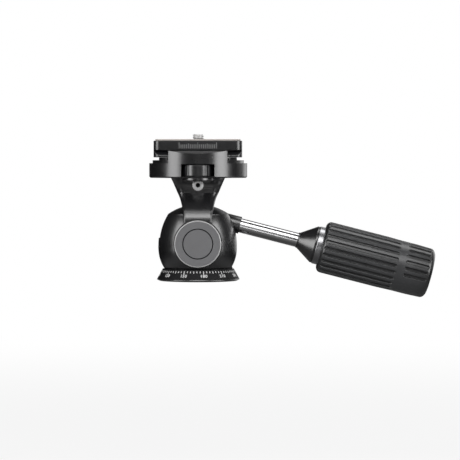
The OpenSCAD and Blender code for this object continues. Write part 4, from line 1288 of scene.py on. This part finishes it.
ROD_POINT_RADIUS = 0.5 * MM
ROD_CONE_RADIUS = 1.4 * MM
ROD_CONE_END = 2.6 * MM
ROD_THREAD_RADIUS = 3 * MM
ROD_THREAD_START = 2.9 * MM
ROD_THREAD_END = 9.1 * MM
ROD_THREAD_EDGE = 0.2 * MM
NOSE_RADIUS = 4.4 * MM
NOSE_LENGTH = 0.8 * MM
NOSE_FLARE = 0.1 * MM
CONE_LIP = 1.2 * MM
CONE_EDGE = 0.5 * MM
BAND_EDGE = 0.3 * MM


class HEAD_OT_handle(bpy.types.Operator):
    """Handle: the hub's boss, the polished rod, the cone and the metal ring"""

    bl_idname = "head.handle"
    bl_label = "Handle"

    def execute(self, context):
        edge = context.scene.head_sizes.edge
        rod = Extent("handle_rod", HANDLE)
        cone = Extent("ferrule_cone", HANDLE)
        ring = Extent("metal_ring", HANDLE)
        dress_copy("handle_hub", "handle_boss", edge)
        stem = turned_piece("polished_handle_rod", [
            (0, rod.low.z, 0), (ROD_POINT_RADIUS, rod.low.z, 0), (ROD_CONE_RADIUS, ROD_CONE_END, 0),
            (ROD_THREAD_RADIUS, ROD_THREAD_START, ROD_THREAD_EDGE), (ROD_THREAD_RADIUS, ROD_THREAD_END, 0),
            (rod.radius, ROD_THREAD_END, edge), (rod.radius, rod.high.z, edge), (0, rod.high.z, 0)],
            HANDLE, turns=160, closed=False)
        dress(stem, "handle_rod")
        horn = turned_piece("cone_ferrule", [
            (rod.radius, cone.low.z, 0), (NOSE_RADIUS, cone.low.z, edge),
            (NOSE_RADIUS + NOSE_FLARE, cone.low.z + NOSE_LENGTH, edge),
            (cone.radius, cone.high.z - CONE_LIP, CONE_EDGE), (cone.radius, cone.high.z, edge),
            (rod.radius, cone.high.z, 0)], HANDLE, turns=192)
        dress(horn, "ferrule_cone")
        band = turned_piece("satin_ring", [
            (rod.radius, ring.low.z, 0), (ring.radius, ring.low.z, BAND_EDGE),
            (ring.radius, ring.high.z, BAND_EDGE), (rod.radius, ring.high.z, 0)], HANDLE, turns=192)
        dress(band, "metal_ring")
        return {"FINISHED"}


GRIP_CORE = 11.5 * MM
GRIP_ROUND = 3 * MM
GRIP_TAPER = 0.5 * MM
GRIP_CROWN = 0.8 * MM
GRIP_FLOOR = 2.2 * MM
GRIP_STEPS = 8
GRIP_ROW_GAP = 0.02 * MM
GRIP_ANGLE = math.radians(70)
GROOVE_START = 1.4 * MM
GROOVE_NEAR = 42.3 * MM
GROOVE_BAND = 4.5 * MM
GROOVE_FAR = 13.6 * MM
GROOVE_WALL = 0.5 * MM
GROOVE_RIM_SHARE = 0.4
GROOVE_RIMS = (0.2 * MM, 0.05 * MM)
GROOVE_STEPS = 6
GROOVE_CUT_SHARES = (0, 0.5, 0.72, 0.85, 0.95, 1.05, 1.15, 1.35)
BAND_DIP = 0.3 * MM
FIRST_BARE_SHARE = 0.275


def groove_dent(along, across, start, end, half, depth):
    """How deep a groove with round ends is at a point of the grip's surface."""
    nearest = min(max(along, start + half), end - half)
    inside = half - math.hypot(along - nearest, across)
    share = min(max(inside / GROOVE_WALL + GROOVE_RIM_SHARE, 0), 1)
    return depth * share * share * (3 - 2 * share)


def groove_rows(start, end, half):
    """Places along a groove, close together where its ends are round."""
    turns = [-rim for rim in GROOVE_RIMS]
    turns += [half * (1 - math.cos(i * QUARTER_TURN / GROOVE_STEPS)) for i in range(GROOVE_STEPS + 1)]
    middle = [start + half + (end - start - 2 * half) * i / GROOVE_STEPS for i in range(1, GROOVE_STEPS)]
    return [start + t for t in turns] + middle + [end - t for t in reversed(turns)]


class HEAD_OT_grip(bpy.types.Operator):
    """Grip: the rubber sleeve with its two sets of grooves"""

    bl_idname = "head.grip"
    bl_label = "Grip"

    def execute(self, context):
        size = context.scene.head_sizes
        grip = Extent("grip_sleeve", HANDLE)
        low, high = grip.low.z, grip.high.z
        radius = grip.radius
        half = size.groove_width / 2
        band = low + GROOVE_START + GROOVE_NEAR
        near = (low + GROOVE_START, band)
        distant = (band + GROOVE_BAND, band + GROOVE_BAND + GROOVE_FAR)
        tail = high - GRIP_CROWN - GRIP_ROUND

        def round_end(into):
            """What the rounding adds to its centre's radius, at a distance into it."""
            return math.sqrt(max(GRIP_ROUND ** 2 - into ** 2, 0)) - GRIP_ROUND

        def outer(along):
            """The sleeve's outer radius at a place along it."""
            if along < low + GRIP_ROUND:
                return radius + round_end(low + GRIP_ROUND - along)
            if along > tail:
                return radius - GRIP_TAPER + round_end(along - tail)
            share = max(along - distant[0], 0) / (tail - distant[0])
            dip = BAND_DIP * math.exp(-((along - band - GROOVE_BAND / 2) / GROOVE_BAND) ** 2)
            return radius - GRIP_TAPER * min(share, 1) - dip

        def dented(rows_of_grooves):
            def dent(angle, local, along):
                if local <= GRIP_CORE or along > distant[1] + GROOVE_RIMS[0]:
                    return 0
                return sum(groove_dent(along, angle * radius, *row, half, size.groove_depth)
                           for row in rows_of_grooves)
            return dent

        steps = range(GRIP_STEPS + 1)
        rows = [low + GRIP_ROUND * (1 - math.cos(i * QUARTER_TURN / GRIP_STEPS)) for i in steps]
        rows += groove_rows(*near, half) + groove_rows(*distant, half)
        rows += [tail + GRIP_ROUND * math.sin(i * QUARTER_TURN / (GRIP_STEPS + 2)) for i in steps]
        rows = sorted(rows)
        rows = [a for a, b in zip(rows, rows[1:] + [high]) if b - a > GRIP_ROW_GAP]
        floor = high - GRIP_FLOOR
        profile = [Vector((0, floor)), Vector((GRIP_CORE, floor)), Vector((GRIP_CORE, low))]
        profile += [Vector((outer(along), along)) for along in rows]
        rim = profile[-1]
        for i in steps[1:]:
            angle = i * QUARTER_TURN / GRIP_STEPS
            profile.append(Vector((rim.x * math.cos(angle), rim.y + (high - rim.y) * math.sin(angle))))

        span = FULL_TURN / size.grooves
        reach = span / 2 * radius
        half_cuts = [share * half for share in GROOVE_CUT_SHARES] + [reach]
        cuts = sorted({round(side * cut / reach, 6) for cut in half_cuts for side in (-1, 1)})
        first_bare = round(FIRST_BARE_SHARE * size.grooves) + 1
        bare_count = size.bare_grooves
        full = repeated("ribs", sector_of(profile, span, cuts, dented((near, distant))), HANDLE,
                        size.grooves - bare_count, "grip_rubber", size.grooves, first_bare + bare_count)
        bare = repeated("bare_ribs", sector_of(profile, span, cuts, dented((near,))), HANDLE,
                        bare_count, "grip_rubber", size.grooves, first_bare)
        dress(join("ribbed_grip", [full, bare]), "grip_sleeve", angle=GRIP_ANGLE)
        return {"FINISHED"}


# The washer's rim shows between the ring and the barrel as a dark line: it is painted dull black, as painted
# shade between the parts
PAINTED_SHADE_INNER = {"pan_washer": "dull_black"}


class HEAD_OT_inner(bpy.types.Operator):
    """Inner pieces: gives every CAD piece that stays its finish"""

    bl_idname = "head.inner"
    bl_label = "Inner pieces"

    def execute(self, context):
        for node, piece in NODES.items():
            piece.data.materials.clear()
            # The washer takes painted shade in place of its slot's finish
            piece.data.materials.append(material(PAINTED_SHADE_INNER.get(node, SLOTS[node])))
        return {"FINISHED"}


# Stage

FLOOR_HEIGHT = -110 * MM
FLOOR_REACH = 6
AIM = Vector((0, 0, 40 * MM))
CAMERA_AIM = Vector((18.1 * MM, 0, 28.8 * MM))
CAMERA_LENS = 200
CAMERA_SENSOR = 36
CAMERA_CLIP = (0.05, 50)
LAMPS = (
    # name, azimuth and height angle from the camera's side, turn about its own axis, in degrees,
    # then its distance, width and length in metres, and how bright its face is, 1 being white
    ("left_softbox", -59, 8, 0, 1.1, 0.62, 1.2, 2.2),
    ("right_softbox", 56, 8, 0, 1.1, 0.62, 1.2, 2.5),
    ("front_softbox", 0, 38, 0, 1.1, 0.75, 0.54, 2.2),
    ("front_strip", 4, 16, 14.4, 1.25, 0.09, 0.3, 0.9),
    ("low_strip", 3, -12, 14.4, 0.4, 0.06, 0.12, 0.9),
    ("right_rim_softbox", 145, 5, 0, 1.2, 0.5, 1.0, 0.8),
)
TOP_LAMP = ("top_softbox", Vector((0.295, 0.19, 1.15)), 0.45, 1.2, 1.5)
WHITE = (1, 1, 1, 1)
AMBIENT = 0.27
BRIGHT_SIDE = Vector((math.sin(math.radians(150)), -math.cos(math.radians(150)), 0))
# Each is (start, end, value at the start, value at the end), of a direction's likeness to the bright
# side for the first and of the distance from the head for the others
CURTAIN = (0.96, 0.6, 0.5, 0.98)
SHADOW_FADE = (0.25, 1.1, 0.85, 1.0)
# The floor as reflections see it near the head: a painted shadow, dark under the head and lighter further
# out
PAINTED_FLOOR_SHADOW_IN_GLOSS = (0.02, 0.28, 0.01, 0.16)
FAR_FLOOR_IN_GLOSS = (0.25, 0.5, 1.0, 0.04)


def lamp(name, spot, width, length, bright, turn=0.0):
    """A soft rectangular lamp that looks at the head."""
    light = bpy.data.lights.new(name, "AREA")
    light.shape = "RECTANGLE"
    light.size = width
    light.size_y = length
    light.energy = 4 * bright * width * length
    made = bpy.data.objects.new(name, light)
    made.location = spot
    look = (AIM - spot).to_track_quat("-Z", "Y").to_matrix()
    made.rotation_euler = (look @ Matrix.Rotation(turn, 3, "Z")).to_euler()
    made.visible_camera = False
    bpy.context.scene.collection.objects.link(made)


def seen_rays(graph):
    """1 for the rays that see the background itself, and 1 for the glossy ones among them."""
    path = graph.tree.nodes.new("ShaderNodeLightPath")
    camera, glossy, through = [Link(graph, path.outputs[kind])
                               for kind in ("Is Camera Ray", "Is Glossy Ray", "Is Transmission Ray")]
    return graph.math("MINIMUM", camera + glossy + through, 1.0), glossy


def make_world():
    """A white studio with plain ambient light. Gloss sees it dark, apart from the right rear."""
    world = bpy.data.worlds.new("studio")
    bpy.context.scene.world = world
    world.use_nodes = True
    graph = Graph(world.node_tree)
    seen, glossy = seen_rays(graph)
    look = graph.node("ShaderNodeTexCoord", output="Generated")
    curtain = graph.ramp(graph.vector("DOT_PRODUCT", look, BRIGHT_SIDE), *CURTAIN)
    strength = seen * (1 - curtain * glossy) + (1 - seen) * AMBIENT
    shader = graph.node("ShaderNodeBackground", None, {"Color": WHITE, "Strength": strength})
    graph.node("ShaderNodeOutputWorld", None, {"Surface": shader})


def make_floor():
    """A plain pale floor that keeps a soft shadow. Reflections see it with a painted shadow under the head.
    """
    mesh = bmesh.new()
    bmesh.ops.create_grid(mesh, x_segments=1, y_segments=1, size=FLOOR_REACH)
    for vertex in mesh.verts:
        vertex.co.z = FLOOR_HEIGHT
    floor = add_piece("studio_floor", mesh)
    made = bpy.data.materials.new("pale_floor")
    made.use_nodes = True
    graph = Graph(made.node_tree)
    seen, glossy = seen_rays(graph)
    away = graph.vector("LENGTH", graph.node("ShaderNodeTexCoord", output="Object"))
    # Reflections see the floor with a painted shadow under the head, and dark far away
    gloss_floor_shadow = graph.ramp(away, *PAINTED_FLOOR_SHADOW_IN_GLOSS) * graph.ramp(away, *FAR_FLOOR_IN_GLOSS)
    pale = graph.node("ShaderNodeBsdfDiffuse", None, {"Color": opaque(colours().floor)})
    white = graph.node("ShaderNodeEmission", None, {
        "Color": WHITE, "Strength": gloss_floor_shadow * glossy + (1 - glossy)})
    share = seen * (graph.ramp(away, *SHADOW_FADE) * (1 - glossy) + glossy)
    shader = graph.node("ShaderNodeMixShader", None, {0: share, 1: pale, 2: white})
    graph.node("ShaderNodeOutputMaterial", None, {"Surface": shader})
    floor.data.materials.append(made)


def make_camera():
    """The camera at the photograph's angle: along the tilt axis, from a little above."""
    size = sizes()
    lens = bpy.data.cameras.new("camera")
    lens.lens = CAMERA_LENS
    lens.sensor_width = CAMERA_SENSOR
    lens.clip_start, lens.clip_end = CAMERA_CLIP
    made = bpy.data.objects.new("camera", lens)
    bpy.context.scene.collection.objects.link(made)
    made.location = (CAMERA_AIM.x, -size.camera_distance, size.camera_height)
    made.rotation_euler = (CAMERA_AIM - made.location).to_track_quat("-Z", "Y").to_euler()
    bpy.context.scene.camera = made


class HEAD_OT_stage(bpy.types.Operator):
    """Stage: the floor, the lamps, the white studio and the camera"""

    bl_idname = "head.stage"
    bl_label = "Stage"

    def execute(self, context):
        make_world()
        make_floor()
        for name, azimuth, rise, turn, distance, width, length, bright in LAMPS:
            around, up = math.radians(azimuth), math.radians(rise)
            towards = on_circle(math.cos(up), around - QUARTER_TURN, math.sin(up))
            lamp(name, AIM + towards * distance, width, length, bright, math.radians(turn))
        lamp(*TOP_LAMP)
        make_camera()
        context.scene.view_settings.view_transform = "Standard"
        return {"FINISHED"}


class HEAD_OT_finishes(bpy.types.Operator):
    """Finishes: makes the procedural materials"""

    bl_idname = "head.finishes"
    bl_label = "Finishes"

    def execute(self, context):
        make_finishes()
        return {"FINISHED"}


OPERATORS = (
    HEAD_OT_finishes, HEAD_OT_inner, HEAD_OT_base, HEAD_OT_housing, HEAD_OT_yoke, HEAD_OT_caps,
    HEAD_OT_clamp, HEAD_OT_neck_screw, HEAD_OT_wheel, HEAD_OT_springs, HEAD_OT_plate,
    HEAD_OT_camera_screw, HEAD_OT_handle, HEAD_OT_grip, HEAD_OT_stage,
)


class HEAD_PT_panel(bpy.types.Panel):
    """Lists the steps of the head and its sizes and colours"""

    bl_idname = "HEAD_PT_panel"
    bl_label = "Mount Head"
    bl_space_type = "VIEW_3D"
    bl_region_type = "UI"
    bl_category = "Mount Head"

    def draw(self, context):
        for step in OPERATORS:
            self.layout.operator(step.bl_idname)
        for group in (context.scene.head_sizes, context.scene.head_colours):
            box = self.layout.box()
            for name in group.__annotations__:
                box.prop(group, name)


CLASSES = (HeadSizes, HeadColours, *OPERATORS, HEAD_PT_panel)


def register():
    for item in CLASSES:
        bpy.utils.register_class(item)
    bpy.types.Scene.head_sizes = bpy.props.PointerProperty(type=HeadSizes)
    bpy.types.Scene.head_colours = bpy.props.PointerProperty(type=HeadColours)


def unregister():
    del bpy.types.Scene.head_colours
    del bpy.types.Scene.head_sizes
    for item in reversed(CLASSES):
        bpy.utils.unregister_class(item)


def main():
    register()
    for step in OPERATORS:
        group, name = step.bl_idname.split(".")
        getattr(getattr(bpy.ops, group), name)()


if __name__ == "__main__":
    main()
